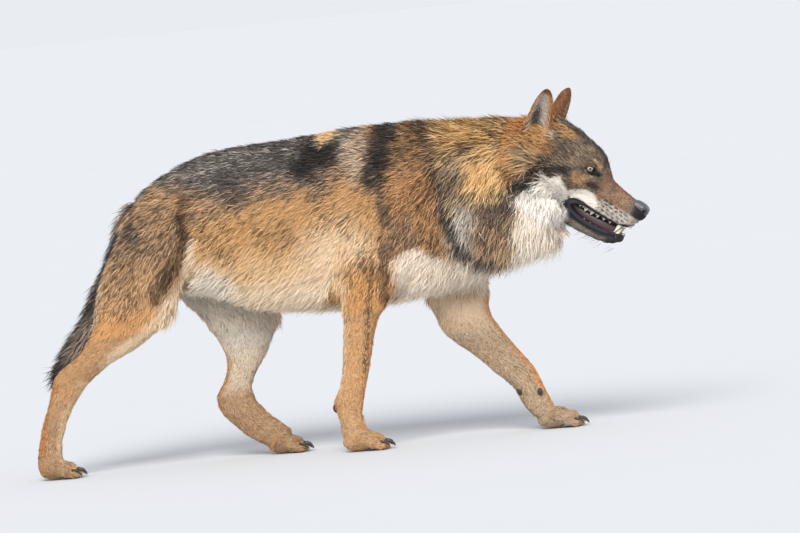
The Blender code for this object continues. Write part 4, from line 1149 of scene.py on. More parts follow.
def tuft_points(t, lock_turn, lock_rise):
    """Five points for each tuft: two at its root, two at its bend and its tip."""
    n = len(t.root)
    normal = t.normal
    tangent = unit(t.lie - normal * np.sum(t.lie * normal, 1)[:, None])
    across = np.cross(normal, tangent)
    turn = 0.44 * lock_turn + 0.26 * RNG.standard_normal(n)
    c, s = np.cos(turn)[:, None], np.sin(turn)[:, None]
    tangent, across = tangent * c + across * s, across * c - tangent * s
    length = t.length * np.clip(loosely(0.16, n) + 0.25 * lock_rise, 0.55, 1.45)
    rise = np.radians(np.clip(t.rise * (1 + 0.4 * lock_rise + 0.18 * RNG.standard_normal(n)), 6, 78))
    droop = np.radians(t.droop * (1 + 0.8 * lock_rise + 0.40 * RNG.standard_normal(n)))
    roll = 0.60 * RNG.standard_normal(n)
    flat = across * np.cos(roll)[:, None] + normal * np.sin(roll)[:, None]
    half = (t.width * np.clip(loosely(0.25, n), 0.5, 1.6) / 2)[:, None]

    def step(angle, share):
        way = tangent * np.cos(angle)[:, None] + normal * np.sin(angle)[:, None]
        return way * (length * share)[:, None]

    start = t.root - normal * np.minimum(0.0015, t.length * 0.15)[:, None]
    middle = start + step(rise, 0.48)
    tip = middle + step(droop, 0.52)
    for end in (middle, tip):
        end[:, 1] = np.clip(end[:, 1], -COAT_HALF_WIDTH, COAT_HALF_WIDTH)
        end[:, 2] = np.maximum(end[:, 2], 0.0006)
    return np.stack([start - flat * half, start + flat * half, middle - flat * half * 0.85,
                     middle + flat * half * 0.85, tip], 1).reshape(-1, 3)


def tuft_colours(ground, dark, lock_shade, loose):
    """Five colours for each tuft: darker at its root as painted shade, black-tipped where the dark share
    says.
    """
    n = len(ground)
    black = (RNG.random(n) < dark)[:, None]
    shade = 1 + 0.26 * lock_shade + 0.18 * loose * RNG.standard_normal(n)
    own = bounded(np.maximum(ground * shade[:, None], 0.004))
    ink = linear(DARK) * loosely(0.35, n)[:, None].clip(0.35, 2.0)
    # painted shade at the root, deeper for darker hair
    root = own * (0.62 + 0.36 * own.max(1, keepdims=True))
    root = np.where((dark > 0.93)[:, None], ink, root)
    middle = np.where(black, own * 0.35 + ink * 0.65, own)
    tip = np.where(black, ink * 0.8, bounded(own * 1.16))
    return np.stack([root, root, middle, middle, tip], 1).reshape(-1, 3)


def tuft_mesh(name, t, ground, dark, uv):
    """The mesh of a set of tufts: five points and three triangles each, with colours and OFBake."""
    wave = t.root + 0.004 * np.sin(t.root[:, [1, 2, 0]] * 310)
    lock = np.floor(wave / np.clip(t.length * 0.25, 0.0035, 0.011)[:, None])
    loose = 1 - 0.62 * ease(0.40, 0.80, ground.max(1)) * (dark < 0.10)     # cream coat lies smoother
    lock_turn, lock_rise, lock_shade = ((lattice(lock, seed) - 0.5) * loose for seed in (41, 43, 47))
    points = tuft_points(t, lock_turn, lock_rise)
    base = np.arange(len(t.root))[:, None] * 5
    faces = np.concatenate([base + (0, 1, 3), base + (0, 3, 2), base + (2, 3, 4)], 1).reshape(-1, 3)
    mesh = mesh_of(name, points, faces)
    paint(mesh, tuft_colours(ground, dark, lock_shade, loose))

    corner = np.array([(0, 0), (1, 0), (0.1, 0.5), (0.9, 0.5), (0.5, 1)]) * PATCH
    where = np.clip(uv, 0, 1) * (1 - PATCH)
    spread = (where[:, None, :] + corner[None]).reshape(-1, 2)
    layer = mesh.uv_layers.new(name="OFBake")
    layer.data.foreach_set("uv", spread[faces.ravel()].astype(np.float32).ravel())
    return mesh


def unwrap_along(points, line, middle_y):
    """A place on an unwrap of a long form: along its line, and round it."""
    p = points - SHIFT
    share, direction = along(p[:, 0], p[:, 2], line)[1:]
    xs, zs = np.array(line, float).T
    steps = np.hypot(np.diff(xs), np.diff(zs))
    reach = np.concatenate([[0], np.cumsum(steps)]) / steps.sum()
    off_x, off_z = p[:, 0] - np.interp(share, reach, xs), p[:, 2] - np.interp(share, reach, zs)
    beside = off_x * -direction[:, 1] + off_z * direction[:, 0]
    angle = np.arctan2(p[:, 1] - middle_y, beside) / (2 * math.pi) + 0.5
    return np.stack([share, angle], 1)


# ------------------------------------------------------------------ materials
def principled(name, roughness, **sockets):
    """A new material with its nodes and links."""
    material = bpy.data.materials.new(name)
    material.use_nodes = True
    nodes, links = material.node_tree.nodes, material.node_tree.links
    shader = nodes["Principled BSDF"]
    shader.inputs["Roughness"].default_value = roughness
    for key, value in sockets.items():
        shader.inputs[key.replace("_", " ")].default_value = value
    return material, nodes, links


def noise_node(nodes, links, scale):
    """Noise in the piece's own space."""
    where = nodes.new("ShaderNodeTexCoord")
    texture = nodes.new("ShaderNodeTexNoise")
    texture.inputs["Scale"].default_value = scale
    texture.inputs["Detail"].default_value = 3.0
    links.new(where.outputs["Object"], texture.inputs["Vector"])
    return texture.outputs["Fac"]


def ramp_node(nodes, links, source, stops):
    """Colours between stops (position, linear colour) along a source."""
    ramp = nodes.new("ShaderNodeValToRGB")
    elements = ramp.color_ramp.elements
    for element, (position, colour) in zip(elements, stops):
        element.position = position
        element.color = (*colour, 1)
    links.new(source, ramp.inputs["Fac"])
    return ramp.outputs["Color"]


def bump(nodes, links, source, strength, distance):
    """Relief on a material's shader."""
    node = nodes.new("ShaderNodeBump")
    node.inputs["Strength"].default_value = strength
    node.inputs["Distance"].default_value = distance
    links.new(source, node.inputs["Height"])
    links.new(node.outputs["Normal"], nodes["Principled BSDF"].inputs["Normal"])


def painted(name, roughness, shades, scale, relief=0.0, **sockets):
    """A material that shows the stored colours, times noise between two shades, with a little relief."""
    material, nodes, links = principled(name, roughness, **sockets)
    colour = nodes.new("ShaderNodeAttribute")
    colour.attribute_name = "coat"
    noise = noise_node(nodes, links, scale)
    low, high = shades
    tone = ramp_node(nodes, links, noise, [(0.3, (low,) * 3), (0.7, (high,) * 3)])
    product = nodes.new("ShaderNodeMix")
    product.data_type = "RGBA"
    product.blend_type = "MULTIPLY"
    product.inputs["Factor"].default_value = 1
    links.new(colour.outputs["Color"], product.inputs["A"])
    links.new(tone, product.inputs["B"])
    links.new(product.outputs["Result"], nodes["Principled BSDF"].inputs["Base Color"])
    if relief:
        bump(nodes, links, noise, 0.6, relief)
    return material


def toned(name, roughness, scale, stops, relief=None, **sockets):
    """A material of noise between two colours; `relief` is a bump's strength and distance."""
    material, nodes, links = principled(name, roughness, **sockets)
    noise = noise_node(nodes, links, scale)
    links.new(ramp_node(nodes, links, noise, stops), nodes["Principled BSDF"].inputs["Base Color"])
    if relief:
        bump(nodes, links, noise, *relief)
    return material


def show(name, mesh, material, slot, *nodes):
    """A shown piece that rides on the wolf and stands for these nodes."""
    piece = add_object(name, mesh)
    mesh.materials.clear()
    mesh.materials.append(material)
    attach(piece, "root")
    if nodes:
        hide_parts(*nodes)
    return piece


# ------------------------------------------------------------------ skin and coat
FUR = painted("fur", 0.62, (0.90, 1.06), 420, Specular_IOR_Level=0.28)
SKIN = painted("skin", 0.70, (0.78, 1.132), 900, 0.0006, Specular_IOR_Level=0.25)


class Hide:
    """A skin and its coat's fields, at row points; the body's also know the node of each point."""

    def __init__(self, name, mesh, fields, in_head=False):
        self.name, self.mesh, self.fields, self.in_head = name, mesh, fields, in_head
        self.points, self.normals, self.triangles = points_of(mesh), normals_of(mesh), triangles_of(mesh)
        self.node = fields.get("node")
        if in_head:
            self.points, self.normals = from_head(self.points), self.normals @ HEAD_ROTATION.T
            fields["lie"] = fields["lie"] @ HEAD_ROTATION.T


def body_skin():
    """The skin of trunk, neck, tail and legs, and its fields: a mesh and a dict of arrays."""
    names = sorted(PART_OF_NODE)
    coarse = [NODES[name].data for name in names if not name.endswith("_paw")]
    mesh = fused("skin_body", coarse, 0.0052, 9)
    return mesh, sink(mesh, names, 3)


def longer_coat(fields, points, normals):
    """Coat that is longer and stands off: below the body, before the thighs and behind the elbows."""
    node, ahead, z = fields["node"], normals[:, 0], points[:, 2]
    under = ease(-0.25, -0.80, normals[:, 2]) * np.isin(node, ("trunk", "neck", "head"))
    thigh = ease(0.30, 0.80, ahead) * ease(0.20, 0.26, z) * ease(0.46, 0.40, z)
    thigh = thigh * np.char.startswith(node, "hindleg")
    elbow = ease(0.20, 0.80, -ahead) * ease(0.22, 0.32, z) * ease(0.46, 0.40, z)
    elbow = elbow * np.char.startswith(node, "foreleg") * np.where(points[:, 1] > 0, 1.0, 0.4)
    for share, longer, rise, droop in ((under, 0.45, 20, 14), (thigh, 0.80, 10, 0), (elbow, 0.90, 12, 0)):
        fields["length"] = fields["length"] * (1 + longer * share)
        fields["rise"] = fields["rise"] + rise * share
        fields["droop"] = fields["droop"] + droop * share


def sink(mesh, names, rounds):
    """Move a skin in by the depth of its coat and return its fields."""
    points, edges = points_of(mesh), edges_of(mesh)
    fields, owner = fields_at(points, edges, names)
    fields["node"] = np.array(names)[owner]
    normals = unit(diffused(normals_of(mesh), edges, 4))
    longer_coat(fields, points, normals)
    points = diffused(points - normals * fields["depth"][:, None], edges, rounds)
    ahead = to_head(points)
    cheek = blob(ahead[:, 0], ahead[:, 2], (0.055, -0.110), (0.100, 0.085)) * (points[:, 2] > 0.38)
    if cheek.any():
        points += (diffused(points, edges, 90) - points) * cheek[:, None]
    points[:, 2] = np.maximum(points[:, 2], 0.0002)
    move_points(mesh, points)
    return fields


def cut_away(mesh, fields, keep):
    """Keep only some points of a skin, and their fields."""
    bm = bmesh.new()
    bm.from_mesh(mesh)
    bm.verts.ensure_lookup_table()
    bmesh.ops.delete(bm, geom=[bm.verts[i] for i in np.flatnonzero(~keep)], context="VERTS")
    bm.to_mesh(mesh)
    bm.free()
    for key in fields:
        fields[key] = fields[key][keep]


def body_hide(body, fields):
    """The body's skin without the face and the lower legs, which have finer skins of their own."""
    points = points_of(body)
    ahead = to_head(points)
    muzzle = ahead[:, 0] > 0.138 + 0.9 * np.maximum(-0.100 - ahead[:, 2], 0)
    above = ahead[:, 2] > JAW_LINE + 0.008
    face = (fields["node"] == "head") & (ahead[:, 0] > 0.040) & (above | muzzle)
    cut_away(body, fields, ~face & (points[:, 2] > LIMB_TOP - 0.03))
    points = points_of(body)
    x, _, z = to_head(points).T
    bare = (fields["node"] == "head") * ease(0.000, 0.008, x) * ease(JAW_LINE + 0.003, JAW_LINE + 0.009, z)
    fields["cover"] = fields["cover"] * (1 - bare) * (points[:, 2] > LIMB_TOP)
    return Hide("body", body, fields)


def head_hide(head):
    """The head's skin, bare at lips, lids and nose and where the body's coat covers it."""
    h = points_of(head)
    x, z = h[:, 0], h[:, 2]
    fields = head_fields(h)
    throat = ease(JAW_LINE - 0.008, JAW_LINE - 0.014, z) * ease(0.136, 0.126, x)
    fields["cover"] = fields["cover"] * (1 - blank_face(h)) * ease(-0.005, 0.005, x) * (1 - throat)
    return Hide("head", head, fields, in_head=True)


def limb_hide(limb):
    """The skin of a limb's lower leg and paw, bare under its sole."""
    names = [limb + "_lower", limb + "_paw"]
    mesh = fused("skin_" + limb, [NODES[name].data for name in names], 0.0026, 5)
    fields = sink(mesh, names, 1)
    cut_away(mesh, fields, points_of(mesh)[:, 2] < LIMB_TOP + 0.004)
    hide = Hide(limb, mesh, fields)
    z = hide.points[:, 2]
    sole = ease(0.016, 0.008, z) * ease(-0.2, -0.6, hide.normals[:, 2])
    fields["cover"] = fields["cover"] * (z < LIMB_TOP + 0.001) * (1 - sole)
    return hide


def ear_hide(word):
    """The skin of an ear."""
    mesh = ear_mesh(SIDES[word])
    return Hide("ear_" + word, mesh, ear_fields(points_of(mesh), normals_of(mesh), SIDES[word]), in_head=True)


def colour_skin(hide):
    """Store a skin's colours: those of its coat, darkened where its hairs are black and further as painted
    shade between the hairs.
    """
    marks = marks_for(hide.name, hide.points, hide.normals, hide.node)
    # painted shade between the hairs: the skin darker than the coat above it
    colour = marks.ground * (1 - 0.62 * marks.dark[:, None]) * (0.66 + 0.28 * marks.ground)
    if hide.name == "head":
        colour = np.where((marks.dark > 0.93)[:, None], linear(LIP_BLACK), colour)
        mouth = inside_mouth(points_of(hide.mesh))
        colour += (linear(MOUTH_RED) - colour) * mouth[:, None]
    if hide.name.startswith("ear"):
        colour *= 0.50
    paint(hide.mesh, colour)


def make_skin_and_coat():
    """One skin in place of all the nodes of flesh, and the coat in pieces."""
    body, body_fields = body_skin()
    head = head_skin(body)
    hides = [body_hide(body, body_fields), head_hide(head)]
    hides += [limb_hide(limb) for limb in LIMBS]
    hides += [ear_hide(word) for word in SIDES]
    for hide in hides:
        colour_skin(hide)
        if hide.in_head:
            hide.mesh.transform(HEAD)
    flesh = [name for name in NODES if "claw" not in name and not name.startswith("eye")
             and name not in ("nose", "tongue")]
    show("skin", joined("skin", [hide.mesh for hide in hides]), SKIN, "tan", *flesh)

    keep = TUFTS / sum(demand(hide, 1.0).sum() for hide in hides)
    for hide in hides:
        dress(hide, keep)


def blank_face(h):
    """Where the head has no hair: lips, lids, the mouth and the nose's bed."""
    x, _, z = h.T
    gap = ease(-0.0640, -0.0675, z) * ease(-0.112, -0.104, z) * ease(0.140, 0.150, x)
    out = np.maximum(gap, ease(0.268, 0.274, x + 0.15 * (z + 0.012)) * ease(-0.032, -0.026, z))
    for side in SIDES.values():
        centre, gaze, ahead, up = eye_axes(side)
        d = h - centre
        a, v = d @ ahead - EYE_OPENING_AHEAD, d @ up
        rim = np.hypot(a / (EYE_HALF_OPENING[0] + 0.0022), v / (EYE_HALF_OPENING[1] + 0.0020))
        out = np.maximum(out, ease(1.10, 0.95, rim) * (d @ gaze > 0))
    return np.clip(out, 0, 1)


def inside_mouth(h):
    """1 on the head's skin behind the lips."""
    x, y, z = h.T
    w = np.abs(y)
    edge = np.interp(x, (0.14, 0.18, 0.24, 0.29), (0.034, 0.030, 0.022, 0.010))
    return (ease(0.0, -0.004, w - edge) * ease(-0.0645, -0.0685, z) * ease(-0.104, -0.098, z)
            * ease(0.145, 0.155, x) * ease(0.284, 0.276, x))


def marks_for(name, points, normals, node):
    """The markings of a skin or its tufts at row points; `node` names each point's node, on the body."""
    if name == "head":
        return head_marks(points)
    if name.startswith("ear"):
        return ear_marks(points, normals, SIDES[name[4:]])
    part = np.array([PART_OF_NODE[n] for n in node])
    m = body_marks(points, normals, part)
    near_head = ease(-0.060, -0.010, to_head(points)[:, 0]) * (part == "head")
    if near_head.any():
        other = head_marks(points)
        m.ground += (other.ground - m.ground) * near_head[:, None]
        m.dark += (other.dark - m.dark) * near_head
    return m


def head_map(root):
    """A place on the head's unwrap: along it and round it."""
    h = to_head(root)
    angle = np.arctan2(h[:, 1], h[:, 2] + 0.03) / (2 * math.pi) + 0.5
    return np.stack([(h[:, 0] + 0.02) / 0.33, angle], 1)


def ear_map(root, normal, side):
    """A place on an ear's unwrap: up it, and across its outer or its inner side."""
    height, across = ear_place(to_head(root), side)
    inner = (normal @ HEAD_ROTATION) @ ear_frame(side)[3] > 0
    return np.stack([0.95 * height, 0.25 + 0.24 * across + 0.5 * inner], 1)


def body_groups(root, node):
    """For trunk, neck, tail and each limb: its name, its tufts and their places on its unwrap."""
    for group in ("trunk", "neck", "tail", *LIMBS):
        wanted = np.char.startswith(node, group)
        if group == "neck":
            wanted |= node == "head"
        chosen = np.flatnonzero(wanted)
        line = LINES.get(group, TRUNK_LINE)
        middle_y = LIMB_MIDDLE * SIDES[group.split("_")[1]] if group in LIMBS else 0.0
        if len(chosen):
            yield group, chosen, unwrap_along(root[chosen], line, middle_y)


def dress(hide, keep):
    """Grow, colour, unwrap and show the coat of one skin."""
    tufts, name, node = grow(hide, keep), hide.name, None
    root, everything = tufts.root, np.arange(len(tufts.root))
    if name == "head":
        groups = [(name, everything, head_map(root))]
    elif hide.in_head:
        groups = [(name, everything, ear_map(root, tufts.normal, SIDES[name[4:]]))]
    else:
        names = sorted(set(hide.node))
        node = np.array(names)[nearest_node(root, names)]
        groups = body_groups(root, node)
    seen = root + unit(tufts.lie) * (0.6 * tufts.length)[:, None]
    marks = marks_for(name, seen, tufts.normal, node)
    for group, chosen, uv in groups:
        parts = max(1, math.ceil(len(chosen) / LONGEST_PIECE))
        order = np.argsort(root[chosen][:, 0], kind="stable")
        for number, some in enumerate(np.array_split(order, parts), start=1):
            picked = chosen[some]
            title = "coat_" + group + ("_%d" % number if parts > 1 else "")
            mesh = tuft_mesh(title, tufts.only(picked), marks.ground[picked], marks.dark[picked], uv[some])
            show(title, mesh, FUR, COAT_SLOTS.get(group, "tan"))


# ------------------------------------------------------------------ eyes
def iris_colour(r, ray):
    """The eye's colour at a distance from the pupil's middle; `ray` is 0 to 1, dark to bright."""
    if r < PUPIL_RADIUS:
        return (0.002, 0.002, 0.002)
    if r < IRIS_RADIUS:
        t = (r - PUPIL_RADIUS) / (IRIS_RADIUS - PUPIL_RADIUS)
        inner, outer = linear((164, 150, 124)), linear((194, 184, 166))
        edge = 1 - 0.55 * max(0, t - 0.78) / 0.22
        return tuple((inner + (outer - inner) * t) * (0.75 + 0.35 * ray) * edge)
    if r < LIMBUS_RADIUS:
        return (0.020, 0.016, 0.010)
    # the white of the eye darkens away from the iris: painted shade under the lids
    return tuple(linear((92, 72, 62)) * max(0.12, 1 - (r - LIMBUS_RADIUS) * 260))


def eyeball(side):
    """A ball with a bulging cornea that looks along the gaze, painted with iris and pupil."""
    centre, gaze, ahead, up = eye_axes(side)
    look = gaze * math.cos(IRIS_TURN) - ahead * math.sin(IRIS_TURN)
    beside = ahead * math.cos(IRIS_TURN) + gaze * math.sin(IRIS_TURN)
    rings, spokes = 60, 96
    points, colours, faces = [], [], []
    for i in range(rings + 1):
        angle = math.pi * (i / rings) ** 1.35
        bulge = 0.0011 * math.exp(-(angle / 0.50) ** 4)
        r = EYE_RADIUS * math.sin(angle) if angle < 1.5 else 0.02
        for k in range(spokes):
            turn = 2 * math.pi * k / spokes
            out = beside * math.cos(turn) + up * math.sin(turn)
            away = look * math.cos(angle) + out * math.sin(angle)
            points.append(centre + away * (EYE_RADIUS - 0.0002) + look * bulge)
            ray = 0.5 + 0.5 * math.sin(turn * 23 + 3 * math.sin(turn * 7)) * math.sin(turn * 11 + 1)
            colours.append(iris_colour(r, ray))
    for i in range(rings):
        for k in range(spokes):
            a, b = i * spokes + k, i * spokes + (k + 1) % spokes
            faces.append((a, b, b + spokes, a + spokes))
    mesh = closed(mesh_of("eye", np.array(points), faces))
    paint(mesh, np.array(colours))
    mesh.transform(HEAD)
    return mesh


def lid_rim(side):
    """The tube round the lids' opening."""
    centre, gaze, ahead, up = eye_axes(side)
    rim, steps = [], 56
    for k in range(steps + 1):
        turn = 2 * math.pi * k / steps
        a = EYE_OPENING_AHEAD + EYE_HALF_OPENING[0] * math.cos(turn)
        lift = EYE_HALF_OPENING[1] * abs(math.sin(turn)) ** 0.9 * math.copysign(1, math.sin(turn))
        g = math.sqrt(max((EYE_RADIUS + 0.0007) ** 2 - math.hypot(a, lift) ** 2, 0.0000190))
        rim.append(centre + gaze * g + ahead * a + up * lift)
    tube = strand(rim, [0.00125] * len(rim))
    tube.transform(HEAD)
    return tube


def make_eyes():
    """Each eyeball with its iris and pupil, and the dark rims of its lids."""
    wet = painted("eyeball", 0.06, (0.75, 1.1), 1500, Coat_Weight=1.0, Coat_Roughness=0.02)
    lid = toned("lid", 0.38, 700, [(0.3, (0.010, 0.008, 0.008)), (0.8, (0.035, 0.028, 0.026))],
                Coat_Weight=0.25, Coat_Roughness=0.2)
    for word, side in SIDES.items():
        show("eyeball_" + word, eyeball(side), wet, "eye", "eye_" + word)
        show("lid_rim_" + word, lid_rim(side), lid, "dark")


# ------------------------------------------------------------------ nose
def nose_form(directions):
    """The nose's outer form for the points of a ball."""
    square = directions * ((np.abs(directions) ** 2.9).sum(1) ** (-1 / 2.9))[:, None]
    h = np.array((0.2795, 0, -0.0145)) + square * (0.0215, 0.0185, 0.0182)
    w = np.abs(h[:, 1])
    h[:, 1] *= 1 - 0.30 * ease(-0.016, -0.034, h[:, 2])
    h[:, 0] -= 0.0075 * ease(-0.010, -0.034, h[:, 2]) * (h[:, 0] > 0.27)
    h[:, 0] -= 0.0040 * ease(0.010, 0.020, w)
    h[:, 2] -= 0.0022 * ease(0.284, 0.302, h[:, 0]) * (h[:, 2] > -0.012)
    return h


def make_nose():
    """The nose's leather, with nostrils and the groove between them; painted shade darkens nostrils and
    groove, and painted light brightens its top a little.
    """
    leather = painted("nose_leather", 0.36, (0.70, 1.18), 500, Coat_Weight=0.25, Coat_Roughness=0.3)
    nodes, links = leather.node_tree.nodes, leather.node_tree.links
    where = nodes.new("ShaderNodeTexCoord")
    cells = nodes.new("ShaderNodeTexVoronoi")
    cells.inputs["Scale"].default_value = 900
    links.new(where.outputs["Object"], cells.inputs["Vector"])
    bump(nodes, links, cells.outputs["Distance"], 0.5, 0.0004)

    mesh = ball((0, 0, 0), (1, 1, 1), segments=160, rings=110)
    h = nose_form(points_of(mesh))
    move_points(mesh, h)
    n = normals_of(mesh)
    x, y, z = h.T
    w = np.abs(y)
    apart = (np.stack([x, w, z], 1) - (0.2945, 0.0138, -0.0095)) / (0.0060, 0.0052, 0.0040)
    hole = ease(1.0, 0.6, np.linalg.norm(apart, axis=1))
    slit = stripe(x, z, [(0.2935, -0.0120), (0.2880, -0.0152), (0.2805, -0.0145)], 0.0013, 0.8)
    slit = slit * ease(0.010, 0.014, w)
    groove = ease(0.0014, 0.0, w) * ease(-0.006, -0.012, z) * ease(0.288, 0.294, x)
    wing = blob(w, z, (0.0120, -0.0035), (0.0065, 0.0040)) * ease(0.282, 0.288, x)
    push = 0.0013 * wing - 0.0075 * hole - 0.0040 * slit - 0.0020 * groove
    move_points(mesh, h + n * push[:, None])
    # painted shade in the nostrils, their slits and the groove between them
    dark = np.maximum(np.maximum(hole, slit), groove * 0.5)[:, None]
    below, above, inside = (linear(c) for c in ((76, 76, 84), (80, 80, 90), (14, 12, 13)))
    # a touch lighter where the leather faces up: painted light
    colour = below + (above - below) * ease(0.2, 0.9, n[:, 2])[:, None]
    paint(mesh, colour + (inside - colour) * dark)
    show("nose_leather", joined("nose_leather", [mesh], HEAD), leather, "nose", "nose")


# ------------------------------------------------------------------ mouth
def tooth(root, tip, radius, bend=0.0):
    """A tapered tooth, curved back a little."""
    root, tip = np.array(root), np.array(tip)
    path, radii = [], []
    for k in range(9):
        t = k / 8
        path.append(root + (tip - root) * t - np.array((bend * math.sin(math.pi * t), 0, 0)))
        radii.append(radius * (1 - t ** 1.7) + 0.00015)
    return strand(path, radii, 12)


def upper_teeth(side):
    """A canine, six cheek teeth with a smaller cusp before each, and three incisors."""
    teeth = [tooth((0.2640, side * 0.0190, -0.058), (0.2605, side * 0.0200, -0.0850), 0.0058, -0.0015)]
    sizes = [(0.0034, 0.0045), (0.0042, 0.0065), (0.0056, 0.0090), (0.0072, 0.0115), (0.0082, 0.0120),
             (0.0060, 0.0085)]
    for k, (half, drop) in enumerate(sizes):
        x, y = 0.243 - 0.0150 * k, side * (0.0205 + 0.0013 * k)
        teeth.append(tooth((x, y, -0.064), (x - 0.0010, y, -0.0695 - drop), half * 0.92))
        teeth.append(tooth((x - half, y, -0.064), (x - half * 1.05, y, -0.0690 - drop * 0.62), half * 0.62))
    for k in range(3):
        x, y = 0.2850 - 0.0022 * k * k, side * (0.0030 + 0.0052 * k)
        teeth.append(tooth((x, y, -0.050), (x + 0.001, y, -0.0615 - 0.001 * k), 0.0024))
    return teeth


def lower_teeth(side):
    """A canine, three incisors and five cheek teeth."""
    teeth = [tooth((0.2670, side * 0.0130, -0.091), (0.2735, side * 0.0152, -0.0655), 0.0054, 0.0012)]
    for k in range(3):
        y = side * (0.0024 + 0.0040 * k)
        teeth.append(tooth((0.2770 - 0.001 * k, y, -0.090), (0.2815 - 0.0012 * k, y, -0.0775), 0.0021))
    for k, half in enumerate((0.0030, 0.0038, 0.0046, 0.0054, 0.0060)):
        x, y = 0.250 - 0.0150 * k, side * (0.0180 + 0.0014 * k)
        teeth.append(tooth((x, y, -0.102), (x, y, -0.0925 - 0.0006 * k + 0.001 * (k == 4)), half * 0.8))
    return teeth


UPPER_GUM = [
    (0.150, 0.0290, -0.0665), (0.180, 0.0270, -0.0655), (0.215, 0.0235, -0.0650), (0.245, 0.0208, -0.0640),
    (0.266, 0.0185, -0.0580), (0.280, 0.0110, -0.0510), (0.284, 0.0000, -0.0500),
]
LOWER_GUM = [
    (0.160, 0.0270, -0.0990), (0.190, 0.0235, -0.1020), (0.220, 0.0205, -0.1015), (0.244, 0.0180, -0.0955),
    (0.261, 0.0135, -0.0890), (0.268, 0.0070, -0.0880), (0.270, 0.0000, -0.0880),
]
TONGUE = [                               # a lofted form, like HEAD_SKIN, raised to fill the open mouth, coloured dark as painted shade
    (0.120, -0.0700, -0.1000, 0.0220, 0),
    (0.150, -0.0700, -0.1010, 0.0230, 0),
    (0.185, -0.0735, -0.1030, 0.0220, 0),
    (0.215, -0.0725, -0.1030, 0.0200, 0),
    (0.240, -0.0690, -0.1000, 0.0170, 0),
    (0.263, -0.0665, -0.0960, 0.0120, 0),
]


def make_mouth():
    """Teeth set in their gums, and the tongue, coloured dark as painted shade inside the mouth."""
    enamel = toned("enamel", 0.22, 260, [(0.3, (0.62, 0.52, 0.36)), (0.65, (0.86, 0.80, 0.68))],
                   Coat_Weight=0.4, Coat_Roughness=0.1)
    gum = toned("gum", 0.30, 180, [(0.35, (0.030, 0.016, 0.018)), (0.65, (0.240, 0.075, 0.075))],
                Coat_Weight=0.5, Coat_Roughness=0.15)
    # the tongue's colours are dark: painted shade inside the mouth
    flesh = toned("tongue", 0.34, 700, [(0.3, (0.036, 0.020, 0.024)), (0.7, (0.080, 0.042, 0.048))],
                  (0.5, 0.0006), Coat_Weight=0.5, Coat_Roughness=0.2)
    teeth, gums = [], []
    for side in SIDES.values():
        teeth += upper_teeth(side) + lower_teeth(side)
        gums.append(strand(mirrored(UPPER_GUM, side), [0.0052] * len(UPPER_GUM), 10))
        gums.append(strand(mirrored(LOWER_GUM, side), [0.0056] * len(LOWER_GUM), 10))
    show("teeth", joined("teeth", teeth, HEAD), enamel, "cream")
    show("gums", joined("gums", gums, HEAD), gum, "tongue")

    tongue = loft(TONGUE, square=2.4)
    h = points_of(tongue)
    h[:, 2] -= 0.0018 * ease(0.0040, 0.0, np.abs(h[:, 1])) * (h[:, 2] > -0.088)
    move_points(tongue, h)
    show("tongue_flesh", joined("tongue_flesh", [tongue], HEAD), flesh, "tongue", "tongue")


# ------------------------------------------------------------------ claws, pads and whiskers
def make_claws():
    """Curved claws where the solids have them."""
    horn = toned("claw_horn", 0.34, 320, [(0.3, (0.012, 0.010, 0.009)), (0.75, (0.085, 0.070, 0.055))],
                 (0.3, 0.0003), Coat_Weight=0.2, Coat_Roughness=0.3)
    names = [name for name in NODES if "claw" in name]
    claws = []
    for name in names:
        low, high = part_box(name)
        y, long = (low.y + high.y) / 2, high.x - low.x
        path = [(low.x - 0.004, y, high.z - 0.0030), (low.x + 0.25 * long, y, high.z - 0.0025),
                (low.x + 0.55 * long, y, high.z - 0.0050), (low.x + 0.85 * long, y, low.z + 0.0045),
                (high.x, y, low.z + 0.0004)]
        claws.append(strand(path, [0.0030, 0.0031, 0.0025, 0.0015, 0.0003], 12, 1.2))
    show("claws", joined("claws", claws), horn, "claw", *names)


def make_pads():
    """The pads behind the wrists."""
    leather = toned("pad_leather", 0.55, 900, [(0.3, (0.016, 0.014, 0.014)), (0.7, (0.050, 0.044, 0.042))],
                    (0.7, 0.0006))
    pads = [ball((0.0310, -0.0680, 0.1000), (0.0090, 0.0085, 0.0110)),
            ball((0.4335, 0.0520, 0.0910), (0.0090, 0.0085, 0.0110)),
            ball((0.0540, -0.0450, 0.0930), (0.0060, 0.0050, 0.0080)),
            ball((0.4760, 0.0400, 0.0860), (0.0060, 0.0050, 0.0080))]
    show("wrist_pads", joined("wrist_pads", pads, Matrix.Translation(ROW_SHIFT)), leather, "nose")


def hair(root, way, length, radius, drop):
    """A whisker that bends back and drops towards its tip."""
    root, way = Vector(root), Vector(way).normalized()
    path, radii = [], []
    for k in range(7):
        t = k / 6
        path.append(root + way * length * t + Vector((-0.25 * length * t * t, 0, -drop * t * t)))
        radii.append(radius * (1 - 0.92 * t))
    return strand(path, radii, 5)


def make_whiskers():
    """Whiskers of the lips and brows, and the long hairs of the chin."""
    material = toned("whisker", 0.42, 60, [(0.35, (0.010, 0.008, 0.007)), (0.7, (0.060, 0.050, 0.044))])
    hairs = []
    for side in SIDES.values():
        for row, k, ahead, up in whisker_places():
            length = 0.018 + 0.030 * RNG.random() * (1 - 0.12 * k)
            root = (0.205 + ahead, side * (0.034 - 0.0020 * k), -0.030 + up)
            hairs.append(hair(root, (-0.75, side * 0.62, -0.25 - 0.1 * row), length, 0.00030, 0.004))
        for _ in range(14):
            x = 0.150 + 0.125 * RNG.random()
            y = side * 0.020 * RNG.random()
            length = 0.010 + 0.018 * RNG.random()
            root = (x, y, -0.123 + 0.06 * max(0, x - 0.24))
            hairs.append(hair(root, (-0.35, side * 0.10, -0.95), length, 0.00035, 0.0))
        for k in range(5):
            root = (0.146 + 0.004 * k, side * 0.040, 0.022)
            hairs.append(hair(root, (0.1, side * 0.6, 0.8), 0.020, 0.00025, -0.002))
    show("whiskers", joined("whiskers", hairs, HEAD), material, "dark")


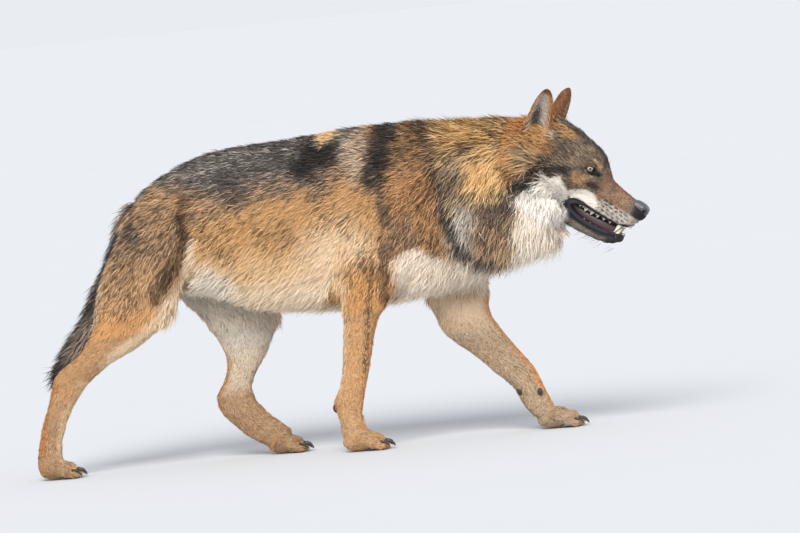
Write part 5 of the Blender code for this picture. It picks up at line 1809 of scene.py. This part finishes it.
# ------------------------------------------------------------------ studio
CAMERA_AZIMUTH, CAMERA_ELEVATION, CAMERA_ROLL = (math.radians(a) for a in (4.0, 3.0, 5.7))
CAMERA_DISTANCE = 12.0
VIEW_WIDTH = 16 / 9                      # across the picture at the wolf
VIEW_CENTRE = (0.15556, 0.41111)         # the picture's middle from the design origin
SENSOR_WIDTH = 36                        # millimetres
FLOOR_REACH = 400
SUN_STRENGTH = 3.1


def make_camera():
    """A long lens near the side of the wolf, rolled by the slope it walks down in the photograph."""
    a, e, r = CAMERA_AZIMUTH, CAMERA_ELEVATION, CAMERA_ROLL
    level = Vector((math.cos(a), math.sin(a), 0))
    back = Vector((math.sin(a) * math.cos(e), -math.cos(a) * math.cos(e), math.sin(e)))
    rise = back.cross(level)
    right = level * math.cos(r) - rise * math.sin(r)
    up = level * math.sin(r) + rise * math.cos(r)
    data = bpy.data.cameras.new("camera")
    camera = add_object("camera", data)
    data.sensor_width = SENSOR_WIDTH
    data.lens = SENSOR_WIDTH * CAMERA_DISTANCE / VIEW_WIDTH
    data.clip_end = 200
    middle = ROW_SHIFT + right * VIEW_CENTRE[0] + up * VIEW_CENTRE[1]
    turn = Matrix((right, up, back)).transposed().to_4x4()
    camera.matrix_world = Matrix.Translation(middle + back * CAMERA_DISTANCE) @ turn
    bpy.context.scene.camera = camera


def make_studio():
    """A pale floor and a wide soft sun from the near side."""
    corners = [(x * FLOOR_REACH, y * FLOOR_REACH, 0) for x, y in ((-1, -1), (1, -1), (1, 1), (-1, 1))]
    floor = add_object("floor", mesh_of("floor", corners, [(0, 1, 2, 3)]))
    pale = [(0.3, (0.641, 0.658, 0.686)), (0.7, (0.649, 0.666, 0.694))]
    floor.data.materials.append(toned("floor", 0.9, 0.8, pale, Specular_IOR_Level=0.0))
    sun = bpy.data.lights.new("sun", "SUN")
    sun.energy = SUN_STRENGTH
    sun.angle = math.radians(35)
    sun.color = (1.0, 0.975, 0.94)
    lamp = add_object("sun", sun)
    lamp.rotation_mode = "QUATERNION"
    lamp.rotation_quaternion = Vector((0.10, 0.95, -0.85)).to_track_quat("-Z", "Y")
    make_sky()


def make_sky():
    """A pale world, brighter towards its edge than overhead."""
    world = bpy.data.worlds.new("studio")
    world.use_nodes = True
    nodes, links = world.node_tree.nodes, world.node_tree.links
    where = nodes.new("ShaderNodeTexCoord")
    parts = nodes.new("ShaderNodeSeparateXYZ")
    links.new(where.outputs["Generated"], parts.inputs["Vector"])
    pale = ramp_node(nodes, links, parts.outputs["Z"],
                     [(0.06, (0.815, 0.840, 0.885)), (0.45, (0.62, 0.64, 0.68))])
    links.new(pale, nodes["Background"].inputs["Color"])
    nodes["Background"].inputs["Strength"].default_value = 1.0
    scene = bpy.context.scene
    scene.world = world
    scene.view_settings.view_transform = "Standard"


make_camera()
make_studio()
make_skin_and_coat()
make_eyes()
make_nose()
make_mouth()
make_claws()
make_pads()
make_whiskers()
